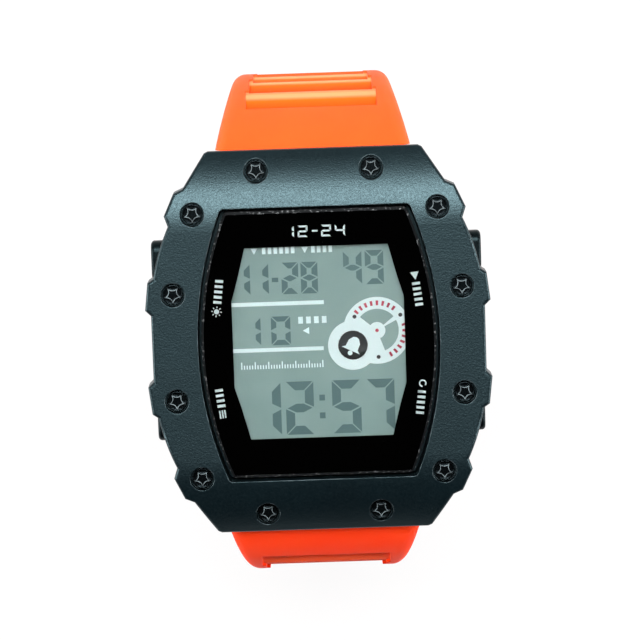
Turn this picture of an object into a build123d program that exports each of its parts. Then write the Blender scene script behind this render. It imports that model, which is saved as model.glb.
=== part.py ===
from build123d import *
import math
import os

# A digital sports watch with its strap unfastened, in millimetres.
# The origin is the centre of the case back's outer face. +Z points out of the dial,
# +Y to 12 o'clock and +X to 3 o'clock. The watch stands on the tail of its strap.

# Heights of the case, from the case back up
back_thickness = 1.2
body_height = 7.6
bezel_height = 4.2
bezel_end_height = 1.0

# Plan of the case
bezel_half_width = 21.35
bezel_half_length = 24.0
bezel_overhang = 0.4
flat_length_share = 0.6
bezel_edge_share = 0.0187
flank_inset = 2.4
flank_height = 2.0

# A quarter of the bezel's outline, in shares of its half width and half length. The last value says
# whether the point is the middle of an arc between its two neighbours.
outline_shares = [
    (0.967, 0.171, False),
    (1.000, 0.200, False),
    (0.981, 0.342, False),
    (0.946, 0.363, False),
    (0.906, 0.504, True),
    (0.850, 0.629, False),
    (0.871, 0.683, False),
    (0.813, 0.796, False),
    (0.759, 0.817, False),
    (0.632, 0.990, False),
    (0.609, 1.000, False),
]

# Opening of the bezel, and the crystal in it
rim_width = 6.35
rim_end_width = 6.95
opening_taper = 3.35
opening_corner = 0.6
collar_gap = 0.15
collar_height = 1.45
crystal_gap = 0.45
crystal_chamfer = 0.3
crystal_thickness = 1.8
crystal_gasket_thickness = 0.3
crystal_gasket_width = 0.7
border_thickness = 0.15
border_inset = 0.1

# Window in the printed border, inside the display's edges, and its outline as shares of its half sizes
window_side_lap = 0.5
window_end_lap = 1.0
window_waist_share = 0.45
window_corner_share = 0.829
window_shoulder_share = 0.667
window_shoulder_width_share = 0.926

# Bezel screws: places as shares of the bezel's half width and half length
screw_place_shares = [(0.333, 0.896), (0.707, 0.688), (0.836, 0.277)]
well_radius = 1.5
screw_head_radius = 1.25
screw_head_height = 0.9
screw_sink = 0.25
screw_shank_radius = 0.7
screw_grip = 1.2
screw_clearance = 0.05
star_points = 5
scallop_radius = 0.74
scallop_depth = 0.4
scallop_reach = 0.085
star_rim = 0.17

# Case body cavity, inside the bezel's opening
cavity_side_inset = 1.6
cavity_end_inset = 1.25
cavity_corner_cut = 3.2
cavity_roof = 0.2
display_opening_gap = 0.2

# Case back and what seals and holds it
back_side_lap = 2.0
back_end_lap = 1.2
back_corner_cut = 1.4
back_edge_chamfer = 0.3
back_screw_side_inset = 1.6
back_screw_end_inset = 1.4
back_screw_head_radius = 1.1
back_screw_head_height = 0.7
back_screw_shank_radius = 0.55
back_screw_length = 3.4
back_slot_width = 0.35
back_slot_depth = 0.3
back_slot_length_share = 3.0
gasket_inset = 0.35
gasket_width = 0.7
gasket_thickness = 0.6
gasket_clearance = 0.05

# Display stack, from the top down
display_drop = 0.15
polariser_thickness = 0.15
glass_thickness = 0.5
reflector_thickness = 0.15
light_guide_thickness = 0.6
display_side_room = 3.8
display_end_room = 4.05
zebra_ledge = 1.7
zebra_width = 1.2
zebra_gap = 0.15
light_guide_side_inset = 1.6
lamp_length = 2.4
lamp_width = 1.2
lamp_gap = 0.15

# Module
module_gap = 0.4
board_thickness = 0.8
frame_thickness = 1.6
base_height = 3.9
button_notch_depth = 2.0
button_notch_half_length = 2.3
processor_height = 1.2
processor_round_share = 0.8
capacitor_width = 0.8
capacitor_count = 4
coil_height = 1.8
coil_core_radius = 0.8
battery_side_room = 3.4
battery_end_room = 2.4
bay_wall = 1.8
parts_end_room = 1.4
battery_height = 2.5
battery_step = 0.4

# The parts bay and what lies in it, as shares of the bay's half width or half length
parts_bay_length_share = 0.3
processor_radius_share = 0.27
quartz_length_share = 0.6
quartz_radius_share = 0.333
capacitor_length_share = 0.16
capacitor_pitch_share = 0.2
coil_radius_share = 0.22

# Buzzer, its spring contact and the button contacts
bay_gap = 0.2
clip_width = 4.0
clip_thickness = 0.2
clip_overlap = 1.6
buzzer_radius = 8.0
buzzer_thickness = 0.3
buzzer_film_radius_share = 0.8
contact_spring_radius = 0.8
contact_spring_wire = 0.12
contact_spring_turns = 5
contact_spring_side_inset = 2.8
contact_spring_setback = 4.0
contact_spring_bore = 1.2
blade_thickness = 0.2
blade_width = 2.6
blade_height = 2.2

# Push buttons
button_end_inset = 5.6
button_setback = 0.65
button_length = 5.0
button_height = 3.4
button_corner = 1.3
button_edge_round = 0.45
button_depth = 3.4
button_travel = 0.8
button_gap = 0.2
button_stop_gap = 0.3
stem_radius = 0.7
stem_clearance = 0.06
stem_end_gap = 0.9
spring_bore_radius = 1.45
spring_bore_depth = 1.2
spring_radius = 1.1
spring_wire = 0.13
spring_turns = 4
oring_width = 0.5
oring_groove_depth = 0.2
retainer_radius = 1.3
retainer_thickness = 0.35
retainer_setback = 0.25
retainer_groove_depth = 0.2

# Lugs, spring bars and the neck of each strap half
lug_radius = 3.1
neck_width_share = 0.51
neck_side_gap = 0.3
neck_radius = 2.5
neck_pocket_gap = 0.3
roof_thickness = 1.5
bar_radius = 0.9
bar_tip_radius = 0.5
bar_tip_length = 1.6
bar_end_gap = 0.1
bar_clearance = 0.05

# Strap band, followed along its outer face
strap_gap = 0.35
strap_thickness = 3.2
shoulder_radius = 23.1
shoulder_start_angle = 50.8
strap_start_drop = 0.4
neck_join_angle = 14.0
neck_tangent_angle = 235.0
strap_start_widening = 2.3
strap_narrowing = 0.4
strap_edge_round = 1.9
strap_inner_round = 0.4
louvre_count = 4
louvre_first_angle = 33.0
louvre_pitch_angle = 11.3
louvre_length_share = 0.9
louvre_depth = 1.3
louvre_recess = 0.5
louvre_side_inset = 2.0
louvre_narrowing = 0.45

# Buckle half of the strap
side_run = 2.0
buckle_bend_radius = 22.0
pin_run_past_centre = 4.0
pin_radius = 0.75
pin_clearance = 0.05
pin_barrel_radius = 2.0
tongue_slot_gap = 0.3
tongue_slot_length = 5.6

# Hole half of the strap
long_bend_radius = 75.0
long_bend_angle = 26.0
tail_bend_radius = 20.0
tail_run_past_centre = 18.0
tail_tip_round = 8.0
hole_count = 8
hole_pitch = 6.5
hole_first = 12.0
hole_length = 3.6
hole_width = 2.4

# Buckle
frame_side_gap = 0.6
frame_arm_width = 1.8
frame_bar_width = 2.0
frame_thickness_z = 1.8
frame_length = 12.0
frame_eye_radius = 1.5
frame_corner = 3.0
tongue_width = 2.6
tongue_thickness = 1.0
tongue_eye_radius = 1.5
tongue_rest_gap = 0.3
tongue_overrun = 0.3

# Sliding keeper
keeper_setback = 4.8
keeper_length = 4.5
keeper_wall = 1.2
keeper_side_gap = 0.5
keeper_inner_gap = 0.3
keeper_tail_gap = 4.5
keeper_edge_round = 0.8

# How far a cutter runs past what it cuts, how near a place counts as the same, the least upward lean of a
# top face, and where along an edge its place is read
overrun = 1.0
match_gap = 0.01
top_face_share = 0.1
reading_shares = (0.1, 0.5, 0.9)

# Levels worked out from the heights
body_bottom = back_thickness
parting_z = body_bottom + body_height
bezel_top = parting_z + bezel_height
collar_top = parting_z + collar_height
crystal_bottom = collar_top + crystal_gasket_thickness + border_thickness
display_top = collar_top - display_drop
glass_bottom = display_top - polariser_thickness - glass_thickness
rear_glass_bottom = glass_bottom - glass_thickness
reflector_bottom = rear_glass_bottom - reflector_thickness
module_top = reflector_bottom - light_guide_thickness
board_top = module_top - frame_thickness
board_bottom = board_top - board_thickness
base_bottom = board_bottom - base_height
button_z = body_bottom + body_height / 2

# Plan of the bezel's opening, the cavity and the case back
bezel_edge_round = bezel_half_width * bezel_edge_share
flat_half_length = bezel_half_length * flat_length_share
slope_length = bezel_half_length - flat_half_length
bezel_fall = bezel_height - bezel_end_height
slope_radius = (slope_length ** 2 + bezel_fall ** 2) / (2 * bezel_fall)
opening_half_width = bezel_half_width - rim_width
opening_end_half_width = opening_half_width - opening_taper
opening_half_length = bezel_half_length - rim_end_width
cavity_half_width = opening_half_width - cavity_side_inset
cavity_half_length = opening_half_length - cavity_end_inset
back_half_width = cavity_half_width + back_side_lap
back_half_length = cavity_half_length + back_end_lap
back_screw_x = back_half_width - back_screw_side_inset
back_screw_y = back_half_length - back_screw_end_inset

# Plan of the case body, and the spring bar's axis
case_half_width = bezel_half_width - bezel_overhang
case_half_length = bezel_half_length - bezel_overhang
neck_half_width = case_half_width * neck_width_share
bar_y = case_half_length - lug_radius
bar_z = body_bottom + lug_radius
roof_z = parting_z - roof_thickness
strap_start = case_half_length + strap_gap
lug_inner_x = neck_half_width + neck_side_gap

# Band of the strap
strap_start_half_width = neck_half_width + strap_start_widening
strap_half_width = neck_half_width - strap_narrowing
louvre_half_width = strap_half_width - louvre_side_inset

# Display and its window, and the display opening through the case body's collar
display_half_width = opening_half_width - display_side_room
display_half_height = opening_half_length - display_end_room
window_half_width = display_half_width - window_side_lap
window_half_height = display_half_height - window_end_lap
rear_glass_half_height = display_half_height - zebra_ledge
light_guide_half_width = display_half_width - light_guide_side_inset
display_opening_half_width = display_half_width + display_opening_gap
display_opening_half_height = display_half_height + display_opening_gap
zebra_y = rear_glass_half_height + zebra_gap + zebra_width / 2

# Parts bay, and the largest round cell that the rest of the cavity takes
parts_bay_half_width = cavity_half_width - battery_side_room
parts_bay_half_length = parts_bay_half_width * parts_bay_length_share
parts_row_y = cavity_half_length - parts_end_room - parts_bay_half_length
battery_low_y = battery_end_room - cavity_half_length
battery_high_y = parts_row_y - parts_bay_half_length - bay_wall
battery_radius = min(cavity_half_width - battery_side_room, (battery_high_y - battery_low_y) / 2)
battery_y = battery_low_y + battery_radius
battery_bottom = base_bottom + clip_thickness
battery_top = battery_bottom + battery_height
processor_radius = parts_bay_half_width * processor_radius_share
quartz_length = parts_bay_half_width * quartz_length_share
quartz_radius = parts_bay_half_length * quartz_radius_share
capacitor_length = parts_bay_half_width * capacitor_length_share
capacitor_pitch = parts_bay_half_width * capacitor_pitch_share
coil_radius = parts_bay_half_width * coil_radius_share
contact_spring_x = cavity_half_width - contact_spring_side_inset
contact_spring_y = parts_row_y - parts_bay_half_length - contact_spring_setback

# Places along a button's axis, from its cap inwards
button_y = cavity_half_length - button_end_inset
button_reach = bezel_half_width - button_setback
button_inner_x = button_reach - button_depth
button_pocket_x = button_inner_x - button_travel - button_stop_gap
spring_bore_x = button_pocket_x - spring_bore_depth
stem_end_x = cavity_half_width - stem_end_gap
oring_x = cavity_half_width + (spring_bore_x - cavity_half_width - oring_width) / 2
retainer_x = stem_end_x + retainer_setback


def polar(centre, radius, degrees):
    """The point of a circle at an angle from the first axis."""
    angle = math.radians(degrees)
    return (centre[0] + radius * math.cos(angle), centre[1] + radius * math.sin(angle))


def loop_face(points):
    """A face inside a closed run of points, each with a mark that says if it is the middle of an arc."""
    edges = []
    for index, (x, y, on_arc) in enumerate(points):
        before = points[index - 1]
        after = points[(index + 1) % len(points)]
        if on_arc:
            edges.append(ThreePointArc(before[:2], (x, y), after[:2]))
        elif not after[2]:
            edges.append(Line((x, y), after[:2]))
    return make_face(edges)


def four_quarters(quarter):
    """A quarter's points, then the same points in the other three quarters, in order."""
    upper = quarter + [(-x, y, on_arc) for x, y, on_arc in reversed(quarter)]
    return upper + [(-x, -y, on_arc) for x, y, on_arc in upper]


def prism(face, low, high):
    """A flat face of the XY plane, drawn up from one level to another."""
    return extrude(Pos(0, 0, low) * face, high - low)


def side_prism(face, half_width):
    """A face of the YZ plane, drawn out to both sides along X."""
    return extrude(Plane.YZ * face, half_width, both=True)


def front_prism(face, half_length):
    """A face of the XZ plane, drawn out both ways along Y."""
    return extrude(Plane.XZ * face, half_length, both=True)


def box_between(low, high):
    """A box given by its two opposite corners."""
    size = [b - a for a, b in zip(low, high)]
    middle = [(a + b) / 2 for a, b in zip(low, high)]
    return Pos(*middle) * Box(*size)


def post(radius, low, high):
    """A round post on the Z axis, from one level to another."""
    return Pos(0, 0, (low + high) / 2) * Cylinder(radius, high - low)


def rod(radius, low, high):
    """A round rod on the X axis, from one place to another."""
    return Pos((low + high) / 2, 0, 0) * Rot(0, 90, 0) * Cylinder(radius, high - low)


def both_ways(places):
    """Each place with its mirror images across both planes of the dial."""
    return [(sx * x, sy * y) for x, y in places for sx in (-1, 1) for sy in (-1, 1)]


def octagon(half_width, half_length, corner_cut):
    """A rectangle with its corners cut off at 45 degrees."""
    quarter = [
        (half_width, half_length - corner_cut, False),
        (half_width - corner_cut, half_length, False),
    ]
    return loop_face(four_quarters(quarter))


def watch_outline(half_width, half_length):
    """The plan of the bezel, or of the case under it."""
    quarter = [(half_width * x, half_length * y, arc) for x, y, arc in outline_shares]
    return loop_face(four_quarters(quarter))


def opening_face(inset):
    """The plan of the bezel's opening, drawn in by an inset on every side."""
    corner = (opening_end_half_width - inset, opening_half_length - inset)
    quarter = [corner + (False,)]
    points = four_quarters(quarter)
    points.insert(2, (inset - opening_half_width, 0, True))
    points.append((opening_half_width - inset, 0, True))
    face = loop_face(points)
    return fillet(face.vertices(), opening_corner)


def bezel_surface(y):
    """The height of the bezel's top at a distance from its middle."""
    beyond = max(0, y - flat_half_length)
    return bezel_top - slope_radius + math.sqrt(slope_radius ** 2 - beyond ** 2)


def bezel_side_view():
    """The bezel seen from 3 o'clock: flat in the middle, falling along an arc to both ends."""
    end = bezel_half_length + overrun
    middle = (flat_half_length + end) / 2
    right = [
        (end, parting_z, False),
        (end, bezel_surface(end), False),
        (middle, bezel_surface(middle), True),
        (flat_half_length, bezel_top, False),
    ]
    return loop_face(right + [(-y, z, arc) for y, z, arc in reversed(right)])


screw_places = both_ways([(bezel_half_width * x, bezel_half_length * y) for x, y in screw_place_shares])


def screw_head_top(y):
    """Level of a bezel screw's head, a little under the lowest bezel around it."""
    return bezel_surface(abs(y) + screw_head_radius) - screw_sink


def rim_edges(bezel):
    """The outer edges of the bezel's top, without the two folds where it starts to fall."""
    tops = [face for face in bezel.faces() if face.normal_at().Z > top_face_share]
    edges = [edge for face in tops for edge in face.edges()]
    return [edge for edge in edges if abs(abs(edge.center().Y) - flat_half_length) > match_gap]


def make_bezel():
    """Resin bezel: a ring with screw wells, sloping down at 12 and 6 o'clock."""
    blank = prism(watch_outline(bezel_half_width, bezel_half_length), parting_z, bezel_top)
    bezel = blank & side_prism(bezel_side_view(), bezel_half_width + overrun)
    bezel = fillet(rim_edges(bezel), bezel_edge_round)
    bezel -= prism(opening_face(0), parting_z - overrun, bezel_top + overrun)
    for x, y in screw_places:
        seat = screw_head_top(y) - screw_head_height
        well = post(well_radius, seat, bezel_top + overrun)
        hole = post(screw_shank_radius + screw_clearance, parting_z - overrun, seat + overrun)
        bezel -= Pos(x, y, 0) * (well + hole)
    return bezel


def star_pockets(top):
    """Five lens-shaped pockets in a screw's head, which leave a star standing between them."""
    scallop = Pos(0, screw_head_radius + scallop_reach, 0) * Circle(scallop_radius)
    lens = scallop & Circle(screw_head_radius - star_rim)
    pocket = prism(lens, top - scallop_depth, top + overrun)
    return [Rot(0, 0, 360 * index / star_points) * pocket for index in range(star_points)]


def make_bezel_screws():
    """Twelve bezel screws with five-pointed stars in their heads."""
    screws = []
    for x, y in screw_places:
        top = screw_head_top(y)
        seat = top - screw_head_height
        screw = post(screw_head_radius, seat, top) - star_pockets(top)
        screw += post(screw_shank_radius, parting_z - screw_grip, seat)
        screws.append(Pos(x, y, 0) * screw)
    return Compound(screws)


def make_crystal():
    """Mineral glass crystal with a polished bevel."""
    crystal = prism(opening_face(crystal_gap), crystal_bottom, crystal_bottom + crystal_thickness)
    return chamfer(crystal.faces().sort_by(Axis.Z)[-1].edges(), crystal_chamfer)


def window_face():
    """The display window: straight sides at the middle, narrowing to both ends."""
    shoulder_x = window_half_width * window_shoulder_width_share
    quarter = [
        (window_half_width, window_half_height * window_waist_share, False),
        (shoulder_x, window_half_height * window_shoulder_share, False),
        (window_half_width * window_corner_share, window_half_height, False),
    ]
    return loop_face(four_quarters(quarter))


def make_crystal_border():
    """Black printed layer on the underside of the crystal, with the display window in it."""
    face = opening_face(crystal_gap + border_inset) - window_face()
    return prism(face, crystal_bottom - border_thickness, crystal_bottom)


def make_crystal_gasket():
    """Flat gasket between the crystal and the case body's collar."""
    ring = opening_face(crystal_gap) - opening_face(crystal_gap + crystal_gasket_width)
    return prism(ring, collar_top, collar_top + crystal_gasket_thickness)


def case_side_view():
    """The case body seen from 3 o'clock, with its lower ends rounded about the spring bars."""
    end = case_half_length
    upper = [(end, parting_z, False), (-end, parting_z, False)]
    round_middle = polar((-bar_y, bar_z), lug_radius, 225)
    left = [(-end, bar_z, False), round_middle + (True,), (-bar_y, body_bottom, False)]
    right = [(-y, z, arc) for y, z, arc in reversed(left)]
    return loop_face(upper + left + right)


def case_front_view():
    """The case body seen from 6 o'clock, with its flanks drawn in towards the back."""
    right = [(case_half_width - flank_inset, body_bottom), (case_half_width, body_bottom + flank_height)]
    right.append((case_half_width, parting_z))
    points = right + [(-x, z) for x, z in reversed(right)]
    return make_face(Polyline(*points, close=True))


def neck_pocket():
    """The room between a pair of lugs for a strap neck, at 12 o'clock."""
    radius = neck_radius + neck_pocket_gap
    end = case_half_length + overrun
    round_part = Plane.YZ * (Pos(bar_y, bar_z) * Circle(radius))
    pocket = extrude(round_part, lug_inner_x, both=True)
    pocket += box_between((-lug_inner_x, bar_y, bar_z), (lug_inner_x, end, roof_z))
    lower = (-lug_inner_x, bar_y - radius, body_bottom - overrun)
    return pocket + box_between(lower, (lug_inner_x, end, bar_z))


def bar_hole():
    """The blind holes in a pair of lugs for the tips of a spring bar, at 12 o'clock."""
    reach = lug_inner_x + bar_tip_length
    return Pos(0, bar_y, bar_z) * rod(bar_tip_radius + bar_clearance, -reach, reach)


def button_pocket():
    """The room for one button in the case wall at 3 o'clock: head pocket, spring bore and stem hole."""
    head = RectangleRounded(button_length + 2 * button_gap, button_height + 2 * button_gap, button_corner)
    head_depth = bezel_half_width - button_pocket_x + overrun
    head_room = extrude(Plane.YZ.offset(button_pocket_x) * head, head_depth)
    spring_room = rod(spring_bore_radius, spring_bore_x, button_pocket_x + overrun)
    stem_room = rod(stem_radius + stem_clearance, cavity_half_width - overrun, spring_bore_x + overrun)
    return head_room + spring_room + stem_room


def placed_button(shape, side, y):
    """A button part made at 3 o'clock, moved to its place on one side of the case."""
    return Pos(0, y, button_z) * (shape if side > 0 else mirror(shape, about=Plane.YZ))


def make_case_body():
    """Case body: walls, lugs and the collar that carries the crystal."""
    body = prism(watch_outline(case_half_width, case_half_length), body_bottom, parting_z)
    body &= side_prism(case_side_view(), bezel_half_width)
    body &= front_prism(case_front_view(), bezel_half_length)
    body += prism(opening_face(collar_gap), parting_z - overrun, collar_top)
    cavity = octagon(cavity_half_width, cavity_half_length, cavity_corner_cut)
    body -= prism(cavity, body_bottom - overrun, parting_z - cavity_roof)
    opening = Rectangle(2 * display_opening_half_width, 2 * display_opening_half_height)
    body -= prism(opening, body_bottom, collar_top + overrun)
    body -= prism(gasket_face(gasket_clearance), body_bottom - overrun, body_bottom + gasket_thickness)
    strap_room = neck_pocket() + bar_hole()
    body -= strap_room
    body -= mirror(strap_room, about=Plane.XZ)
    screw_end = parting_z - screw_grip - screw_clearance
    screw_hole = post(screw_shank_radius + screw_clearance, screw_end, parting_z + overrun)
    for x, y in screw_places:
        body -= Pos(x, y, 0) * screw_hole
    back_hole_end = back_screw_length + screw_clearance
    back_hole = post(back_screw_shank_radius + screw_clearance, body_bottom - overrun, back_hole_end)
    for x, y in both_ways([(back_screw_x, back_screw_y)]):
        body -= Pos(x, y, 0) * back_hole
    for side in (-1, 1):
        for y in (-button_y, button_y):
            body -= placed_button(button_pocket(), side, y)
    return body


def gasket_face(clearance):
    """The plan of the case back gasket, widened by a clearance on both edges."""
    inner = gasket_inset - clearance
    outer = gasket_inset + gasket_width + clearance
    faces = []
    for grow in (outer, inner):
        corner_cut = cavity_corner_cut + grow / 2
        faces.append(octagon(cavity_half_width + grow, cavity_half_length + grow, corner_cut))
    return faces[0] - faces[1]


def make_case_back_gasket():
    """Rubber gasket in the case body's groove."""
    return prism(gasket_face(0), body_bottom, body_bottom + gasket_thickness)


def make_case_back():
    """Steel case back plate with four counterbored screw holes."""
    plate = prism(octagon(back_half_width, back_half_length, back_corner_cut), 0, back_thickness)
    plate = chamfer(plate.faces().sort_by(Axis.Z)[0].edges(), back_edge_chamfer)
    for x, y in both_ways([(back_screw_x, back_screw_y)]):
        hole = post(back_screw_shank_radius + screw_clearance, -overrun, back_thickness + overrun)
        hole += post(back_screw_head_radius + screw_clearance, -overrun, back_screw_head_height)
        plate -= Pos(x, y, 0) * hole
    return plate


def make_case_back_screws():
    """Four slotted screws, flush with the case back."""
    screws = []
    for x, y in both_ways([(back_screw_x, back_screw_y)]):
        screw = post(back_screw_head_radius, 0, back_screw_head_height)
        screw += post(back_screw_shank_radius, back_screw_head_height, back_screw_length)
        slot_length = back_slot_length_share * back_screw_head_radius
        slot = Pos(0, 0, back_slot_depth / 2) * Box(slot_length, back_slot_width, back_slot_depth)
        screws.append(Pos(x, y, 0) * (screw - slot))
    return Compound(screws)


def make_display():
    """The flat layers of the display, from the polariser down to the light guide."""
    full = Rectangle(2 * display_half_width, 2 * display_half_height)
    short = Rectangle(2 * display_half_width, 2 * rear_glass_half_height)
    guide = Rectangle(2 * light_guide_half_width, 2 * rear_glass_half_height)
    polariser = Rectangle(2 * display_half_width, 2 * rear_glass_half_height + 2 * zebra_width)
    return {
        "display_polariser": prism(polariser, display_top - polariser_thickness, display_top),
        "display_front_glass": prism(full, glass_bottom, display_top - polariser_thickness),
        "display_rear_glass": prism(short, rear_glass_bottom, glass_bottom),
        "display_reflector": prism(short, reflector_bottom, rear_glass_bottom),
        "light_guide": prism(guide, module_top, reflector_bottom),
    }


def make_backlight_lamp():
    """Lamp at the edge of the light guide."""
    right = -light_guide_half_width - lamp_gap
    low = (right - lamp_width, -lamp_length / 2, module_top)
    return box_between(low, (right, lamp_length / 2, reflector_bottom - lamp_gap))


def zebra_strip(grow):
    """One rubber connector strip under the display's upper edge, grown on its long sides."""
    half_width = display_half_width - zebra_width + grow
    half = zebra_width / 2 + grow
    return box_between((-half_width, zebra_y - half, board_top), (half_width, zebra_y + half, glass_bottom))


def make_zebra_strips():
    """Rubber connector strips between the circuit board and the display glass."""
    strip = zebra_strip(0)
    return Compound([strip, mirror(strip, about=Plane.XZ)])


def module_face(gap):
    """The plan of the module, a gap inside the cavity, with notches at the four buttons."""
    face = octagon(cavity_half_width - gap, cavity_half_length - gap, cavity_corner_cut)
    notch = Rectangle(2 * button_notch_depth, 2 * button_notch_half_length)
    for x, y in both_ways([(cavity_half_width, button_y)]):
        face -= Pos(x, y) * notch
    return face


def make_module_frame():
    """Plastic frame between the circuit board and the display."""
    frame = prism(module_face(module_gap), board_top, module_top)
    slot = zebra_strip(zebra_gap)
    frame -= slot
    frame -= mirror(slot, about=Plane.XZ)
    half_width = light_guide_half_width - lamp_width
    half_height = rear_glass_half_height - zebra_width
    window = Rectangle(2 * half_width, 2 * half_height)
    return frame - prism(window, board_top + frame_thickness / 2, module_top + overrun)


def make_circuit_board():
    """Circuit board, under the module frame."""
    return prism(module_face(module_gap + screw_clearance), board_bottom, board_top)


def make_module_base():
    """Plastic base with the battery bay, the parts bay and the passage of the buzzer's spring."""
    base = prism(module_face(module_gap), base_bottom, board_bottom)
    bay = post(battery_radius + bay_gap, base_bottom - overrun, battery_top + bay_gap)
    base -= Pos(0, battery_y, 0) * bay
    room = Rectangle(2 * parts_bay_half_width, 2 * parts_bay_half_length)
    base -= Pos(0, parts_row_y, 0) * prism(room, base_bottom - overrun, board_bottom + overrun)
    passage = post(contact_spring_bore, base_bottom - overrun, board_bottom + overrun)
    base -= Pos(-contact_spring_x, contact_spring_y, 0) * passage
    half_width = clip_width / 2 + bay_gap
    half_length = battery_radius + clip_overlap
    low = (-half_width, battery_y - half_length, base_bottom - overrun)
    high = (half_width, battery_y + half_length, base_bottom + clip_thickness)
    return base - box_between(low, high)


def make_battery():
    """Coin cell with a stepped can."""
    cell = post(battery_radius, battery_bottom, battery_top - battery_step)
    cell += post(battery_radius - 2 * battery_step, battery_top - battery_step, battery_top)
    return Pos(0, battery_y, 0) * cell


def make_battery_clip():
    """Steel strip across the battery, seated in the module base at both ends."""
    half = battery_radius + clip_overlap - bay_gap
    low = (-clip_width / 2, battery_y - half, base_bottom)
    return box_between(low, (clip_width / 2, battery_y + half, base_bottom + clip_thickness))


def make_processor():
    """Round blob of resin over the processor."""
    blob = post(processor_radius, board_bottom - processor_height, board_bottom)
    blob = fillet(blob.faces().sort_by(Axis.Z)[0].edges(), processor_height * processor_round_share)
    return Pos(-parts_bay_half_width + processor_radius + bay_gap, parts_row_y, 0) * blob


def make_quartz_can():
    """Tuning fork quartz in its metal can, lying on the board."""
    x = parts_bay_half_width - quartz_length - bay_gap
    can = rod(quartz_radius, 0, quartz_length)
    return Pos(x, parts_row_y + parts_bay_half_length / 2, board_bottom - quartz_radius) * can


def make_capacitors():
    """Row of chip capacitors on the board."""
    chips = []
    first = parts_bay_half_width - (capacitor_count - 1) * capacitor_pitch - capacitor_length
    for index in range(capacitor_count):
        centre = (first + index * capacitor_pitch, parts_row_y - parts_bay_half_length / 2)
        chip = Box(capacitor_length, capacitor_width, capacitor_width)
        chips.append(Pos(*centre, board_bottom - capacitor_width / 2) * chip)
    return Compound(chips)


def make_stepup_coil():
    """Wound coil that drives the buzzer."""
    coil = post(coil_radius, board_bottom - coil_height, board_bottom)
    coil -= post(coil_core_radius, board_bottom - coil_height - overrun, board_bottom - coil_height / 2)
    return Pos(-coil_radius / 2, parts_row_y, 0) * coil


def make_buzzer_disc():
    """Piezo disc on the inside of the case back."""
    disc = post(buzzer_radius, body_bottom, body_bottom + buzzer_thickness / 2)
    film_radius = buzzer_radius * buzzer_film_radius_share
    disc += post(film_radius, body_bottom, body_bottom + buzzer_thickness)
    return Pos(-contact_spring_x + film_radius - contact_spring_radius, contact_spring_y / 2, 0) * disc


def coil_spring(radius, wire_radius, turns, length):
    """A coil spring that stands on the XY plane, about the Z axis."""
    height = length - 2 * wire_radius
    path = Helix(pitch=height / turns, height=height, radius=radius)
    section = Plane(origin=path @ 0, z_dir=path % 0) * Circle(wire_radius)
    return Pos(0, 0, wire_radius) * sweep(section, path=path, is_frenet=True)


def make_buzzer_spring():
    """Spring contact from the circuit board down to the buzzer."""
    low = body_bottom + buzzer_thickness
    length = board_bottom - low
    spring = coil_spring(contact_spring_radius, contact_spring_wire, contact_spring_turns, length)
    return Pos(-contact_spring_x, contact_spring_y, low) * spring


def make_side_contacts():
    """Spring blades on the module, one behind each button's stem."""
    blades = []
    x = cavity_half_width - button_notch_depth + blade_thickness / 2
    for side_x, y in both_ways([(x, button_y)]):
        blades.append(Pos(side_x, y, button_z) * Box(blade_thickness, blade_width, blade_height))
    return Compound(blades)


def make_button():
    """Button with its stem at 3 o'clock, with grooves for the o-ring and the retainer."""
    face = RectangleRounded(button_length, button_height, button_corner)
    head = extrude(Plane.YZ.offset(button_inner_x) * face, button_depth)
    head = fillet(head.faces().sort_by(Axis.X)[-1].edges(), button_edge_round)
    button = head + rod(stem_radius, stem_end_x, button_inner_x + overrun)
    button -= stem_ring(oring_groove_depth, oring_width, oring_x, overrun)
    return button - stem_ring(retainer_groove_depth, retainer_thickness, retainer_x, overrun)


def stem_ring(depth, width, x, outer):
    """A ring about the stem, from the floor of a groove out to a reach past the stem."""
    ring = rod(stem_radius + outer, x, x + width)
    return ring - rod(stem_radius - depth, x - overrun, x + width + overrun)


def make_button_oring():
    """O-ring in the stem's groove."""
    return stem_ring(oring_groove_depth, oring_width, oring_x, stem_clearance / 2)


def make_button_retainer():
    """Retaining clip on the inner end of the stem."""
    return stem_ring(retainer_groove_depth, retainer_thickness, retainer_x, retainer_radius - stem_radius)


def make_button_spring():
    """Return spring between the case wall and the button's head."""
    length = button_inner_x - spring_bore_x
    spring = coil_spring(spring_radius, spring_wire, spring_turns, length)
    return Pos(spring_bore_x, 0, 0) * Rot(0, 90, 0) * spring


def make_spring_bar():
    """Spring bar with its two tips in the lugs, at 12 o'clock."""
    half = lug_inner_x - bar_end_gap
    bar = rod(bar_radius, -half, half) + rod(bar_tip_radius, -half - bar_tip_length, half + bar_tip_length)
    return Pos(0, bar_y, bar_z) * bar


def bend(centre, radius, start, turn):
    """A stretch of the strap's outer face that follows an arc, and ends a turn below where it starts."""
    return {
        "length": radius * math.radians(turn),
        "point": lambda share, depth: polar(centre, radius - depth, start - turn * share),
        "facing": lambda share: start - turn * share,
        "depth": lambda y, z: radius - math.dist(centre, (y, z)),
        "curved": True,
    }


def run(start, length, facing):
    """A straight stretch of the strap's outer face, which faces a given angle."""
    def point(share, depth):
        along = polar(start, length * share, facing - 90)
        return polar(along, -depth, facing)

    def depth_of(y, z):
        angle = math.radians(facing)
        return (start[0] - y) * math.cos(angle) + (start[1] - z) * math.sin(angle)
    return {
        "length": length,
        "point": point,
        "facing": lambda share: facing,
        "depth": depth_of,
        "curved": False,
    }


def place_on(path, distance):
    """The outer point at a distance along the strap, and the way the face looks there."""
    for stretch in path:
        if distance <= stretch["length"]:
            break
        distance -= stretch["length"]
    share = distance / stretch["length"]
    return stretch["point"](share, 0), stretch["facing"](share)


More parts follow.
